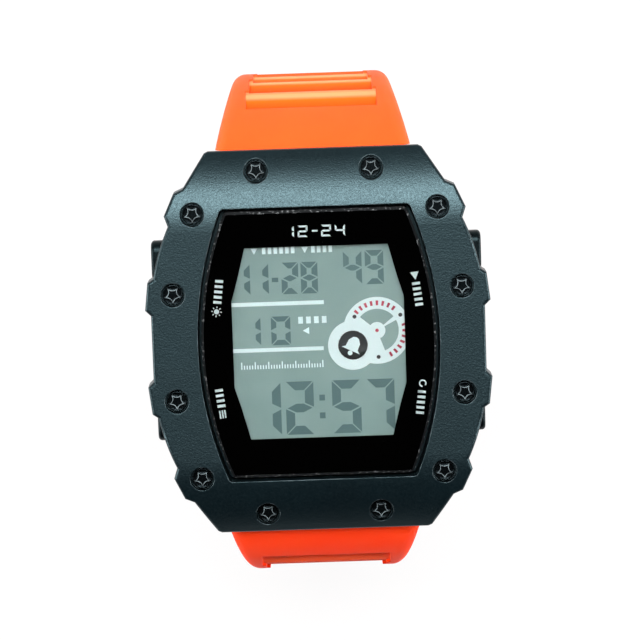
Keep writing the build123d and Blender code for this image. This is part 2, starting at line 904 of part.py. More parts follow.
shoulder_centre = polar((strap_start, parting_z - strap_start_drop), -shoulder_radius, shoulder_start_angle)
side_point = polar(shoulder_centre, shoulder_radius, 0)
shoulder_bend = bend(shoulder_centre, shoulder_radius, shoulder_start_angle, shoulder_start_angle)

buckle_bend_centre = (side_point[0] - buckle_bend_radius, side_point[1] - side_run)
buckle_run_length = buckle_bend_centre[0] + pin_run_past_centre
buckle_run_z = buckle_bend_centre[1] - buckle_bend_radius
buckle_path = [
    shoulder_bend,
    run(side_point, side_run, 0),
    bend(buckle_bend_centre, buckle_bend_radius, 0, 90),
    run((buckle_bend_centre[0], buckle_run_z), buckle_run_length, -90),
]
pin_y = -pin_run_past_centre
pin_z = buckle_run_z + strap_thickness / 2

long_bend_centre = (side_point[0] - long_bend_radius, side_point[1])
long_bend_end = polar(long_bend_centre, long_bend_radius, -long_bend_angle)
tail_bend_centre = polar(long_bend_end, -tail_bend_radius, -long_bend_angle)
tail_z = tail_bend_centre[1] - tail_bend_radius
tail_run_length = tail_bend_centre[0] + tail_run_past_centre
hole_path = [
    shoulder_bend,
    bend(long_bend_centre, long_bend_radius, 0, long_bend_angle),
    bend(tail_bend_centre, tail_bend_radius, -long_bend_angle, 90 - long_bend_angle),
    run((tail_bend_centre[0], tail_z), tail_run_length, -90),
]


def stretch_edge(stretch, first, last, depth):
    """The edge of one stretch at a depth under its outer face."""
    start = stretch["point"](first, depth)
    end = stretch["point"](last, depth)
    if not stretch["curved"]:
        return Line(start, end)
    return ThreePointArc(start, stretch["point"]((first + last) / 2, depth), end)


def strap_side_view(path):
    """The strap half seen from the side: the neck round the spring bar, then the band."""
    bar = (bar_y, bar_z)
    join_share = 1 - neck_join_angle / shoulder_start_angle
    outer = [stretch_edge(stretch, 0, 1, 0) for stretch in path]
    tip = Line(path[-1]["point"](1, 0), path[-1]["point"](1, strap_thickness))
    inner = [stretch_edge(stretch, 1, 0, strap_thickness) for stretch in reversed(path[1:])]
    inner.append(stretch_edge(path[0], 1, join_share, strap_thickness))
    join = path[0]["point"](join_share, strap_thickness)
    neck_foot = polar(bar, neck_radius, neck_tangent_angle)
    neck_top = (bar_y, bar_z + neck_radius)
    neck = [
        Line(join, neck_foot),
        ThreePointArc(neck_foot, polar(bar, neck_radius, (neck_tangent_angle + 90) / 2), neck_top),
        Line(neck_top, (strap_start, neck_top[1])),
        Line((strap_start, neck_top[1]), path[0]["point"](0, 0)),
    ]
    return make_face(outer + [tip] + inner + neck)


def strap_front_view():
    """The strap half seen from the front: broad at the bezel, drawing in along an arc to its even width."""
    widening = strap_start_half_width - strap_half_width
    rise = parting_z - side_point[1]
    radius = (rise ** 2 + widening ** 2) / (2 * widening)
    centre = (strap_half_width + radius, side_point[1])
    top_angle = 180 - math.degrees(math.asin(rise / radius))
    end_z = min(tail_z, buckle_run_z) - overrun
    right = [
        polar(centre, radius, top_angle) + (False,),
        polar(centre, radius, (top_angle + 180) / 2) + (True,),
        (strap_half_width, side_point[1], False),
        (strap_half_width, end_z, False),
    ]
    return loop_face(right + [(-x, z, arc) for x, z, arc in reversed(right)])


def shoulder_cut():
    """What is taken off beside the neck, so that the strap half turns clear of the lugs."""
    reach = strap_start - bar_y
    high = parting_z + bezel_height
    low = shoulder_centre[1]
    cut = extrude(Plane.YZ * (Pos(bar_y, bar_z) * Circle(reach)), strap_start_half_width, both=True)
    cut += box_between((-strap_start_half_width, 0, bar_z), (strap_start_half_width, strap_start, high))
    cut += box_between((-strap_start_half_width, 0, low), (strap_start_half_width, bar_y, high))
    neck_low = (-neck_half_width, -overrun, low - overrun)
    neck_high = (neck_half_width, 2 * strap_start, high + overrun)
    return cut - box_between(neck_low, neck_high)


def louvre_spot(place, depth):
    """A point of the louvres at a place counted in pitches, a depth under their sunken crests."""
    crest_depth = louvre_recess * math.sin(math.pi * place / louvre_count)
    angle = louvre_first_angle - place * louvre_pitch_angle
    return polar(shoulder_centre, shoulder_radius - crest_depth - depth, angle)


def louvre(index):
    """One louvre: deepest next to the case, rising to a crest at its far edge."""
    far = index + louvre_length_share
    points = [
        louvre_spot(index, -2 * overrun),
        louvre_spot(index, louvre_depth),
        louvre_spot(far, 0),
        louvre_spot(index + 1, 0),
        louvre_spot(index + 1, -2 * overrun),
    ]
    half_width = louvre_half_width - index * louvre_narrowing
    return side_prism(make_face(Polyline(*points, close=True)), half_width)


def lies_at(stretch, spots, depth):
    """Whether all spots of an edge are at a depth under one stretch's outer face."""
    return all(abs(stretch["depth"](spot.Y, spot.Z) - depth) < match_gap for spot in spots)


def long_edges(band, path, depth):
    """The band's side edges that lie at a depth under its outer face."""
    found = []
    for edge in band.edges():
        spots = [edge.position_at(share) for share in reading_shares]
        at_side = min(abs(spot.X) for spot in spots) > strap_half_width - strap_edge_round / 2
        at_depth = any(lies_at(stretch, spots, depth) for stretch in path)
        if at_side and at_depth:
            found.append(edge)
    return found


def strap_blank(path):
    """One strap half with square edges, at 12 o'clock."""
    band = side_prism(strap_side_view(path), strap_start_half_width + overrun)
    band &= front_prism(strap_front_view(), 2 * bezel_half_length)
    return band - shoulder_cut()


def finished_strap(band, path):
    """A strap half with its edges rounded, and with its louvres and the bore for the spring bar."""
    band = fillet(long_edges(band, path, 0), strap_edge_round)
    band = fillet(long_edges(band, path, strap_thickness), strap_inner_round)
    band -= Pos(0, bar_y, bar_z) * rod(bar_radius + bar_clearance, -bezel_half_width, bezel_half_width)
    for index in range(louvre_count):
        band -= louvre(index)
    return band


def make_strap_buckle_side():
    """Strap half that carries the buckle, at 12 o'clock."""
    half = finished_strap(strap_blank(buckle_path), buckle_path)
    half += Pos(0, pin_y, pin_z) * rod(pin_barrel_radius, -strap_half_width, strap_half_width)
    bore_half = strap_half_width + overrun
    half -= Pos(0, pin_y, pin_z) * rod(pin_radius + pin_clearance, -bore_half, bore_half)
    slot_half = tongue_width / 2 + tongue_slot_gap
    low = (-slot_half, pin_y - pin_barrel_radius - overrun, pin_z - pin_barrel_radius - overrun)
    high = (slot_half, pin_y + tongue_slot_length / 2, pin_z + pin_barrel_radius + overrun)
    return half - box_between(low, high)


def strap_hole(distance):
    """One long hole through the strap, at a distance from the bezel."""
    point, facing = place_on(hole_path, distance)
    bore = extrude(SlotOverall(hole_length, hole_width, rotation=90), 2 * strap_thickness, both=True)
    return Pos(0, *point) * Rot(facing - 90, 0, 0) * bore


def make_strap_hole_side():
    """Strap half with the holes, made at 12 o'clock and turned to 6 o'clock."""
    half = strap_blank(hole_path)
    upright = half.edges().filter_by(Axis.Z)
    tip = [edge for edge in upright if edge.center().Y < overrun - tail_run_past_centre]
    half = finished_strap(fillet(tip, tail_tip_round), hole_path)
    total = sum(stretch["length"] for stretch in hole_path)
    for index in range(hole_count):
        half -= strap_hole(total - hole_first - index * hole_pitch)
    return mirror(half, about=Plane.XZ)


def make_keeper():
    """Loop that slides on the strap and holds the tail down."""
    inner_half = strap_half_width + keeper_side_gap
    inner_top = buckle_run_z + strap_thickness + keeper_inner_gap
    inner_low = buckle_run_z - keeper_tail_gap
    keeper_start = pin_y + keeper_setback
    end = keeper_start + keeper_length
    outer_low = (-inner_half - keeper_wall, keeper_start, inner_low - keeper_wall)
    outer = box_between(outer_low, (inner_half + keeper_wall, end, inner_top + keeper_wall))
    outer = fillet(outer.edges().filter_by(Axis.Y), keeper_edge_round)
    hole_low = (-inner_half, keeper_start - overrun, inner_low)
    return outer - box_between(hole_low, (inner_half, end + overrun, inner_top))


def make_buckle_frame():
    """Steel frame that turns on the buckle pin."""
    inner_half = strap_half_width + frame_side_gap
    outer_half = inner_half + frame_arm_width
    far = pin_y - frame_length
    outer = Pos(0, (far + pin_y) / 2) * Rectangle(2 * outer_half, frame_length)
    outer = fillet(outer.vertices().sort_by(Axis.Y)[:2], frame_corner)
    inner_length = frame_length - frame_bar_width + overrun
    inner = Pos(0, far + frame_bar_width + inner_length / 2) * Rectangle(2 * inner_half, inner_length)
    inner = fillet(inner.vertices().sort_by(Axis.Y)[:2], frame_corner - frame_arm_width)
    frame = prism(outer - inner, pin_z - frame_thickness_z / 2, pin_z + frame_thickness_z / 2)
    for side in (-1, 1):
        near = side * inner_half
        away = side * outer_half
        frame += Pos(0, pin_y, pin_z) * rod(frame_eye_radius, min(near, away), max(near, away))
    bore_half = outer_half + overrun
    return frame - Pos(0, pin_y, pin_z) * rod(pin_radius + pin_clearance, -bore_half, bore_half)


def make_buckle_pin():
    """Pin through the strap end, the tongue and the frame."""
    half = strap_half_width + frame_side_gap + frame_arm_width
    return Pos(0, pin_y, pin_z) * rod(pin_radius, -half, half)


def make_buckle_tongue():
    """Tongue with its eye on the pin and its tip over the frame's far bar."""
    top = pin_z - frame_thickness_z / 2 - tongue_rest_gap
    tip_y = pin_y - frame_length - tongue_overrun
    eye_side = pin_y - tongue_eye_radius
    points = [
        (pin_y, pin_z),
        (eye_side, pin_z),
        (eye_side, top),
        (tip_y, top),
        (tip_y + tongue_thickness / 2, top - tongue_thickness),
        (pin_y, top - tongue_thickness),
    ]
    half_width = tongue_width / 2
    tongue = side_prism(make_face(Polyline(*points, close=True)), half_width)
    tongue += Pos(0, pin_y, pin_z) * rod(tongue_eye_radius, -half_width, half_width)
    return tongue - Pos(0, pin_y, pin_z) * rod(pin_radius + pin_clearance, -tongue_width, tongue_width)


def make_all():
    """Every piece of the watch under its name."""
    top_bar = make_spring_bar()
    pieces = {
        "case_body": make_case_body(),
        "case_back": make_case_back(),
        "case_back_gasket": make_case_back_gasket(),
        "case_back_screws": make_case_back_screws(),
        "bezel": make_bezel(),
        "bezel_screws": make_bezel_screws(),
        "crystal": make_crystal(),
        "crystal_border": make_crystal_border(),
        "crystal_gasket": make_crystal_gasket(),
        "backlight_lamp": make_backlight_lamp(),
        "zebra_strips": make_zebra_strips(),
        "module_frame": make_module_frame(),
        "module_base": make_module_base(),
        "circuit_board": make_circuit_board(),
        "processor": make_processor(),
        "quartz_can": make_quartz_can(),
        "capacitors": make_capacitors(),
        "stepup_coil": make_stepup_coil(),
        "battery": make_battery(),
        "battery_clip": make_battery_clip(),
        "buzzer_disc": make_buzzer_disc(),
        "buzzer_spring": make_buzzer_spring(),
        "side_contacts": make_side_contacts(),
        "top_spring_bar": top_bar,
        "bottom_spring_bar": mirror(top_bar, about=Plane.XZ),
        "strap_buckle_side": make_strap_buckle_side(),
        "strap_hole_side": make_strap_hole_side(),
        "strap_keeper": make_keeper(),
        "buckle_frame": make_buckle_frame(),
        "buckle_pin": make_buckle_pin(),
        "buckle_tongue": make_buckle_tongue(),
    }
    pieces.update(make_display())
    makers = {
        "button": make_button,
        "button_spring": make_button_spring,
        "button_oring": make_button_oring,
        "button_retainer": make_button_retainer,
    }
    places = {
        "light": (-1, button_y),
        "mode": (-1, -button_y),
        "start": (1, button_y),
        "reset": (1, -button_y),
    }
    for part, maker in makers.items():
        shape = maker()
        for name, (side, y) in places.items():
            pieces[f"{name}_{part}"] = placed_button(shape, side, y)
    return pieces


os.makedirs("parts", exist_ok=True)
for name, shape in make_all().items():
    export_step(shape, f"parts/{name}.step")
    print(name, "written")
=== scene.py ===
# %% [markdown]
# # A digital sports watch
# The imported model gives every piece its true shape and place. This script gives the pieces their
# finishes, draws what the display shows, and sets up the light and the camera.

import math

import bmesh
import bpy
from mathutils import Matrix, Vector


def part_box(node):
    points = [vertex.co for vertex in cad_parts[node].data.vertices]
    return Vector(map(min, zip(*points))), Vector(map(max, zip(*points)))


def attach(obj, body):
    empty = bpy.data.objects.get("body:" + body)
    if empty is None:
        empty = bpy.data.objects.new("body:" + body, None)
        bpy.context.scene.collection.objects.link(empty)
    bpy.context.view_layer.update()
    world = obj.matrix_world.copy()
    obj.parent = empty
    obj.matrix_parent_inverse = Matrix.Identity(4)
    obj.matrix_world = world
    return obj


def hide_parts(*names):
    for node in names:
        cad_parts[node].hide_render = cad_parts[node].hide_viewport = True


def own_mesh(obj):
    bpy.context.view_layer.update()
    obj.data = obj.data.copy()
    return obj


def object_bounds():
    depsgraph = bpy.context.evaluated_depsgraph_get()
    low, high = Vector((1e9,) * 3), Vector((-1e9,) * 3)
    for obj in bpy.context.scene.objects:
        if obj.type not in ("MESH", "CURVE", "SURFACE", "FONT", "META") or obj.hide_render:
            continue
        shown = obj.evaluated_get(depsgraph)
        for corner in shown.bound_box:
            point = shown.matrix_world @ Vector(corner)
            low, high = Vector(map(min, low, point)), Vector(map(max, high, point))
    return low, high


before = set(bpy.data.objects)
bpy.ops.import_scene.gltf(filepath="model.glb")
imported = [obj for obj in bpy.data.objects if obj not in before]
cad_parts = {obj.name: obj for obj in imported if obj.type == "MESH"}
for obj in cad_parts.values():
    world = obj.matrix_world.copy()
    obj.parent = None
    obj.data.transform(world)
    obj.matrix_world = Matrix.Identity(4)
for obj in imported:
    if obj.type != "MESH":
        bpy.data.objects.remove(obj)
cad_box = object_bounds()
print("pieces in the frame:", len(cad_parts))

# %% [markdown]
# ## Working in millimetres
# Blender counts in metres, and a watch is a few hundredths of one. Sizes on the watch are written in
# millimetres and multiplied by `MM`, so they can be compared with the real thing. The box of each
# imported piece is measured, because whatever is drawn later takes its place from the piece under it.

# %% Units and measured boxes
MM = 0.001
box = {name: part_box(name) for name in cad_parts}
film_top = box["display_polariser"][1][2] / MM
border_top = box["crystal_border"][1][2] / MM
print("display film lies at", round(film_top, 3), "mm, border at", round(border_top, 3), "mm")

# %% [markdown]
# ## Sums in a node tree
# Materials and the world are made of nodes, and many of them only work out a number: the larger of
# two values, a product, or a value moved from one range to another. Two helpers make such nodes, so
# the cells below read like sums instead of long lists of sockets and links.

# %% Sums
def maths(tree, operation, first, second=None):
    """A Math node on one or two values, each of them another node's output or a plain number."""
    node = tree.nodes.new("ShaderNodeMath")
    node.operation = operation
    for socket, value in zip(node.inputs, (first, second)):
        if isinstance(value, bpy.types.NodeSocket):
            tree.links.new(value, socket)
        elif value is not None:
            socket.default_value = value
    return node.outputs[0]


def spread(tree, value, low, high, low_in=0.3, high_in=0.7):
    """A value moved from one range to another. Noise lies mostly between 0.3 and 0.7."""
    node = tree.nodes.new("ShaderNodeMapRange")
    node.inputs["From Min"].default_value = low_in
    node.inputs["From Max"].default_value = high_in
    node.inputs["To Min"].default_value = low
    node.inputs["To Max"].default_value = high
    tree.links.new(value, node.inputs["Value"])
    return node.outputs["Result"]


print("sum helpers ready")

# %% [markdown]
# ## The floor
# The watch was photographed from above on white. A white floor could be lit until it is white in the
# picture, but so much light would bleach the watch too. A floor that glows a little by itself, where
# the camera or a shiny piece looks at it, stays white and still takes a soft shadow. The Light Path
# node tells such rays from the rest, so the glow puts no light on the watch.

# %% Floor
FLOOR_WIDTH = 4
FLOOR_GAP = 0.02
FLOOR_WHITE = (0.86, 0.86, 0.86, 1)
GLOW_SHARE = 0.9


def floor_paint():
    paint = bpy.data.materials.new("white_floor")
    paint.use_nodes = True
    tree = paint.node_tree
    tree.nodes.clear()
    path = tree.nodes.new("ShaderNodeLightPath")
    seen = path.outputs["Is Camera Ray"]
    for ray in ("Is Glossy Ray", "Is Transmission Ray"):
        seen = maths(tree, "MAXIMUM", seen, path.outputs[ray])
    matte = tree.nodes.new("ShaderNodeBsdfDiffuse")
    matte.inputs["Color"].default_value = FLOOR_WHITE
    glow = tree.nodes.new("ShaderNodeEmission")
    blend = tree.nodes.new("ShaderNodeMixShader")
    tree.links.new(maths(tree, "MULTIPLY", seen, GLOW_SHARE), blend.inputs["Fac"])
    tree.links.new(matte.outputs[0], blend.inputs[1])
    tree.links.new(glow.outputs[0], blend.inputs[2])
    out = tree.nodes.new("ShaderNodeOutputMaterial")
    tree.links.new(blend.outputs[0], out.inputs["Surface"])
    return paint


bpy.ops.mesh.primitive_grid_add(x_subdivisions=2, y_subdivisions=2, size=FLOOR_WIDTH)
floor = bpy.context.object
floor.name = "studio_floor"
floor.location.z = cad_box[0][2] - FLOOR_GAP * MM
floor.data.materials.append(floor_paint())
print("floor at", round(floor.location.z / MM, 2), "mm")

# %% [markdown]
# ## The lamps
# In the photograph the bend of the bezel shines at 12 o'clock, the slope at 6 o'clock is almost black,
# and the glass reflects nothing. One lamp over the camera would mirror itself in the glass. So one
# broad lamp hangs high on the 12 o'clock side, and weak low ones stand at 3 and 9 o'clock.

# %% Lamps
def add_lamp(name, place, aim, size, watts):
    """A soft rectangular lamp that faces a point. Its place, aim and size are in metres."""
    lamp = bpy.data.lights.new(name, "AREA")
    lamp.shape = "RECTANGLE"
    lamp.size, lamp.size_y = size
    lamp.energy = watts
    holder = bpy.data.objects.new(name, lamp)
    bpy.context.scene.collection.objects.link(holder)
    holder.location = place
    holder.rotation_euler = (Vector(aim) - Vector(place)).to_track_quat("-Z", "Y").to_euler()


add_lamp("lamp_over_12_o_clock", place=(0, 0.30, 0.72), aim=(0, 0, 0), size=(0.5, 0.26), watts=10.6)
for name, side in (("lamp_at_3_o_clock", 1), ("lamp_at_9_o_clock", -1)):
    add_lamp(name, place=(side * 0.78, -0.02, 0.22), aim=(0, 0, -0.02), size=(0.4, 0.3), watts=5.6)

# %% [markdown]
# ## The room
# Gloss needs something to reflect. A pale room near the horizon brightens the sides of the case, and a
# dark one overhead keeps the glass clear. The room is dimmer on the 6 o'clock side, where the bezel's
# slope is dark. A direction in the world's Generated coordinates is a point one unit away, so its Z is
# the sine of the angle over the horizon.

# %% Room
def add_room(pale_below, dark_above, horizon, overhead, dim_until, full_from, dim):
    """A room with a strength at the horizon and one overhead, dimmer on the 6 o'clock side."""
    room = bpy.data.worlds.new("dim_room")
    room.use_nodes = True
    tree = room.node_tree
    look = tree.nodes.new("ShaderNodeTexCoord")
    parts = tree.nodes.new("ShaderNodeSeparateXYZ")
    tree.links.new(look.outputs["Generated"], parts.inputs[0])
    height = spread(tree, parts.outputs["Z"], horizon, overhead, pale_below, dark_above)
    height.node.interpolation_type = "SMOOTHSTEP"
    side = spread(tree, parts.outputs["Y"], dim, 1, dim_until, full_from)
    background = tree.nodes["Background"]
    background.inputs["Color"].default_value = (1, 1, 1, 1)
    tree.links.new(maths(tree, "MULTIPLY", height, side), background.inputs["Strength"])
    bpy.context.scene.world = room


add_room(pale_below=0.02, dark_above=0.30, horizon=0.85, overhead=0.02, dim_until=-0.6, full_from=0.2,
         dim=0.46)
bpy.context.scene.view_settings.view_transform = "Standard"
print("world:", bpy.context.scene.world.name)

# %% [markdown]
# ## The camera
# The photo was taken from a little to the 12 o'clock side of straight above, from about 35 cm, and
# the watch lies turned by two degrees in it. Eight pixels are one millimetre at the dial. The camera
# could be aimed with a constraint, but three arrows at right angles (to the right, up and back in the
# picture) give its turn directly, and the small slide that centres the watch as in the photo.

# %% Camera
DISTANCE = 350 * MM
TILT = math.radians(7.5)
TURN = math.radians(1.95)
PICTURE_WIDTH = 80 * MM
DIAL_HEIGHT = 9 * MM
SLIDE_RIGHT = 0.125
SLIDE_UP = 2.44
SENSOR = 36
NEAREST = 0.01

across = Vector((math.cos(TURN), -math.sin(TURN), 0))
view_from = Vector((0, math.sin(TILT), math.cos(TILT)))
away_up = view_from.cross(across).normalized()
middle = Vector((0, 0, DIAL_HEIGHT)) + across * SLIDE_RIGHT * MM + away_up * SLIDE_UP * MM
turned = Matrix((away_up.cross(view_from).normalized(), away_up, view_from)).transposed()

camera_data = bpy.data.cameras.new("camera")
camera_data.sensor_width = SENSOR
camera_data.lens = SENSOR * DISTANCE / PICTURE_WIDTH
camera_data.clip_start = NEAREST
camera = bpy.data.objects.new("camera", camera_data)
bpy.context.scene.collection.objects.link(camera)
camera.matrix_world = Matrix.Translation(middle + view_from * DISTANCE) @ turned.to_4x4()
bpy.context.scene.camera = camera
print("lens", round(camera_data.lens, 1), "mm")

# %% [markdown]
# ## Materials from a few nodes
# Nearly every finish here is the same idea: a base colour that wanders a little, a roughness that
# wanders a little, and a fine bump. A picture of the surface could be laid over the piece, but noise
# needs no unwrapping and has no seams. It is measured in object space, which is in metres, so a grain
# of 0.2 mm needs a noise scale of 1 / 0.0002.

# %% Colours and noise
def colour(red, green, blue):
    """A colour as read from a picture, 0 to 255, turned to the linear values that shaders use."""
    linear = []
    for value in (red, green, blue):
        value /= 255
        linear.append(value / 12.92 if value <= 0.04045 else ((value + 0.055) / 1.055) ** 2.4)
    return (*linear, 1)


def new_finish(name):
    """A new material with its tree, its shader and the object coordinates."""
    finish = bpy.data.materials.new(name)
    finish.use_nodes = True
    tree = finish.node_tree
    place = tree.nodes.new("ShaderNodeTexCoord")
    return finish, tree, tree.nodes["Principled BSDF"], place.outputs["Object"]


def noise(tree, place, grain, detail=3.0, stretch=None):
    """Noise whose grains are about `grain` millimetres wide, stretched along an axis if asked."""
    if stretch:
        mapping = tree.nodes.new("ShaderNodeMapping")
        mapping.inputs["Scale"].default_value = stretch
        tree.links.new(place, mapping.inputs["Vector"])
        place = mapping.outputs["Vector"]
    cloud = tree.nodes.new("ShaderNodeTexNoise")
    cloud.inputs["Scale"].default_value = 1 / (grain * MM)
    cloud.inputs["Detail"].default_value = detail
    tree.links.new(place, cloud.inputs["Vector"])
    return cloud.outputs["Fac"]


def mixed(tree, value, first, second):
    """Two colours mixed by a value."""
    blend = tree.nodes.new("ShaderNodeMix")
    blend.data_type = "RGBA"
    blend.inputs["A"].default_value = first
    blend.inputs["B"].default_value = second
    tree.links.new(value, blend.inputs["Factor"])
    return blend.outputs["Result"]


print("middle grey 128 is", round(colour(128, 128, 128)[0], 3), "in linear light")

# %% [markdown]
# ## Relief and soft edges
# A moulded or ground edge is never razor sharp: it catches a thin line of light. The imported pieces
# keep their vertices, so the rounding can't be cut into the mesh. The Bevel node turns only the
# shading near an edge, and the bump for the grain is laid over it.

# %% Relief and edges
EDGE_SAMPLES = 6


def bump(tree, shader, height, depth, before=None):
    """A relief of `depth` millimetres, on top of an earlier one if given."""
    relief = tree.nodes.new("ShaderNodeBump")
    relief.inputs["Distance"].default_value = depth * MM
    tree.links.new(height, relief.inputs["Height"])
    if before:
        tree.links.new(before, relief.inputs["Normal"])
    tree.links.new(relief.outputs["Normal"], shader.inputs["Normal"])
    return relief.outputs["Normal"]


def soft_edges(tree, radius):
    """Normals that turn round an edge within `radius` millimetres."""
    soft = tree.nodes.new("ShaderNodeBevel")
    soft.samples = EDGE_SAMPLES
    soft.inputs["Radius"].default_value = radius * MM
    return soft.outputs["Normal"]


print("edges are softened with", EDGE_SAMPLES, "samples")

# %% [markdown]
# ## Wear and dust
# A worn watch is rubbed pale along its edges, and its border holds specks of dust. Both are a second
# colour over the first where a mask is 1. An edge is where the softened normal leaves the true one:
# the dot product of the two is 1 on a flat face and falls off there. Specks are the few highest tips of
# a fine noise.

# %% Wear and dust
EDGE_TURN = (0.86, 0.97)
RUBBED_NOISE = (0.42, 0.62)
SPECK_FADE = 0.03


def opened(finish):
    """The tree, the shader and the coordinate node of a finish that is already made."""
    tree = finish.node_tree
    return tree, tree.nodes["Principled BSDF"], tree.nodes["Texture Coordinate"]


def over_base(tree, shader, mask, top):
    """A second colour laid over a shader's base colour where a mask is 1."""
    layer = mixed(tree, mask, (0, 0, 0, 1), top)
    tree.links.new(shader.inputs["Base Color"].links[0].from_socket, layer.node.inputs["A"])
    tree.links.new(layer, shader.inputs["Base Color"])


def worn_edges(finish, radius, bare, grain):
    """Edges rubbed pale here and there."""
    tree, shader, where = opened(finish)
    turn = tree.nodes.new("ShaderNodeVectorMath")
    turn.operation = "DOT_PRODUCT"
    true_normal = tree.nodes.new("ShaderNodeNewGeometry").outputs["Normal"]
    tree.links.new(soft_edges(tree, radius), turn.inputs[0])
    tree.links.new(true_normal, turn.inputs[1])
    edge = spread(tree, turn.outputs["Value"], 1, 0, *EDGE_TURN)
    rubbed = spread(tree, noise(tree, where.outputs["Object"], grain), 0, 1, *RUBBED_NOISE)
    over_base(tree, shader, maths(tree, "MULTIPLY", edge, rubbed), bare)


def dusted(finish, grain, tips_from, dust):
    """Specks of dust where a fine noise is highest."""
    tree, shader, where = opened(finish)
    tips = noise(tree, where.outputs["Object"], grain, detail=1)
    specks = spread(tree, tips, 0, 1, tips_from, tips_from + SPECK_FADE)
    over_base(tree, shader, specks, dust)


print("wear and dust ready")

# %% [markdown]
# ## Black resin
# The bezel and case are black resin from a sparked mould: dull, with a fine grain that breaks up the
# highlight, and a cold tint in it. The buttons are smoother, because fingers polish them. One function
# makes every moulded piece: broad noise drives the colour and a shallow relief, finer noise drives
# the roughness, and the grain is the finest.

# %% Resin finishes
COLD_GLOSS = (0.58, 0.91, 1.0, 1)


def moulded(name, base, shade, rough, grain, depth, wander=8.0, wander_rough=2.7, level=0.5, edge=None):
    """A moulded finish. Grain, depth, edge and both widths of wandering are in millimetres."""
    finish, tree, shader, place = new_finish(name)
    wandering = spread(tree, noise(tree, place, wander), 0, 1)
    tree.links.new(mixed(tree, wandering, base, shade), shader.inputs["Base Color"])
    low, high = rough
    tree.links.new(spread(tree, noise(tree, place, wander_rough), low, high), shader.inputs["Roughness"])
    rounded = soft_edges(tree, edge) if edge else None
    coarse = bump(tree, shader, noise(tree, place, wander), depth * 2, before=rounded)
    bump(tree, shader, noise(tree, place, grain, detail=1), depth, before=coarse)
    shader.inputs["Specular IOR Level"].default_value = level
    return finish


bezel_resin = moulded("bezel_resin", colour(3, 12, 16), colour(2, 8, 12), rough=(0.33, 0.45), grain=0.17,
                      depth=0.022, wander_rough=0.25, level=0.5, edge=0.14)
case_resin = moulded("case_resin", colour(5, 9, 11), colour(3, 7, 9), rough=(0.42, 0.52), grain=0.18,
                     depth=0.014, level=0.4, edge=0.14)
button_resin = moulded("button_resin", colour(4, 8, 10), colour(3, 6, 8), rough=(0.34, 0.42), grain=0.3,
                       depth=0.004, level=0.16, edge=0.1)
for resin in (bezel_resin, case_resin, button_resin):
    resin.node_tree.nodes["Principled BSDF"].inputs["Specular Tint"].default_value = COLD_GLOSS
worn_edges(bezel_resin, radius=0.16, bare=colour(96, 106, 110), grain=1.2)
print("resins:", bezel_resin.name, case_resin.name, button_resin.name)

# %% [markdown]
# ## Soft orange strap
# The strap is soft polyurethane, smooth to the eye, and lets a little light in under its surface. The
# half at 6 o'clock lies in deeper shade, and its deeper orange is painted shade: it has a darker copy of
# the strap's finish. A subsurface radius that is longest for red warms the places where light comes
# through an edge.

# %% Strap finishes
LIGHT_SHARE = 0.12
LIGHT_REACH = (1.0, 0.35, 0.1)
LIGHT_DEPTH = 0.6


def strap_finish(name, base, shade, level):
    """Soft polyurethane: satin, with a little light under the surface."""
    finish = moulded(name, base, shade, rough=(0.5, 0.58), grain=0.25, depth=0.004, level=level, edge=0.25)
    shader = finish.node_tree.nodes["Principled BSDF"]
    shader.inputs["Subsurface Weight"].default_value = LIGHT_SHARE
    shader.inputs["Subsurface Radius"].default_value = LIGHT_REACH
    shader.inputs["Subsurface Scale"].default_value = LIGHT_DEPTH * MM
    return finish


strap_resin = strap_finish("strap_resin", colour(255, 89, 31), colour(252, 84, 28), level=0.12)
# A darker copy of the strap finish for the half at 6 o'clock: painted shade.
painted_shade_resin = strap_finish("painted_shade_resin", colour(255, 60, 6), colour(253, 56, 5), level=0.05)
print("strap finishes:", strap_resin.name, painted_shade_resin.name)

# %% [markdown]
# ## Painted shade and highlight in the louvres
# In the floors of the louvres light bounces from orange to orange and deepens the colour, and their crests
# catch the light. Both are painted here: the floors get a deeper orange, painted shade, and the crests a
# pale one, a painted highlight. Painting the floors face by face would need new edges in the mesh. Each
# strap half bends round a line along x, so how far a point is from that line tells how deep it lies in a
# louvre. A colour ramp over that distance gives the deep floors their painted shade and the pale crests
# their painted highlight.

# %% Louvres
BEND_Y = 9.35
BEND_Z = -9.5
RAMP_RADII = (21.7, 22.7)
FACE_RADII = (22.7, 22.9)
BACK_RADII = (20.7, 20.9)
LOUVRE_ENDS = (8.5, 8.4)
DEEP_STOP = 0.3
FLOOR_STOP = 0.7
CREST_STOP = 0.88


def away_from(tree, value, line):
    """How far a value is from a number of millimetres, taken alike on both sides of zero."""
    return maths(tree, "ADD", maths(tree, "ABSOLUTE", value), -line * MM)


def between(tree, value, limits, low=0, high=1):
    """A value in metres moved from a range in millimetres to another."""
    start, end = limits
    return spread(tree, value, low, high, start * MM, end * MM)


def painted_louvre_mask(tree, reach, aside):
    """1 in the louvres, 0 on the strap's face, on its back and beyond the louvres' ends."""
    mask = between(tree, reach, FACE_RADII, low=1, high=0)
    mask = maths(tree, "MULTIPLY", mask, between(tree, reach, BACK_RADII))
    return maths(tree, "MULTIPLY", mask, between(tree, aside, LOUVRE_ENDS))
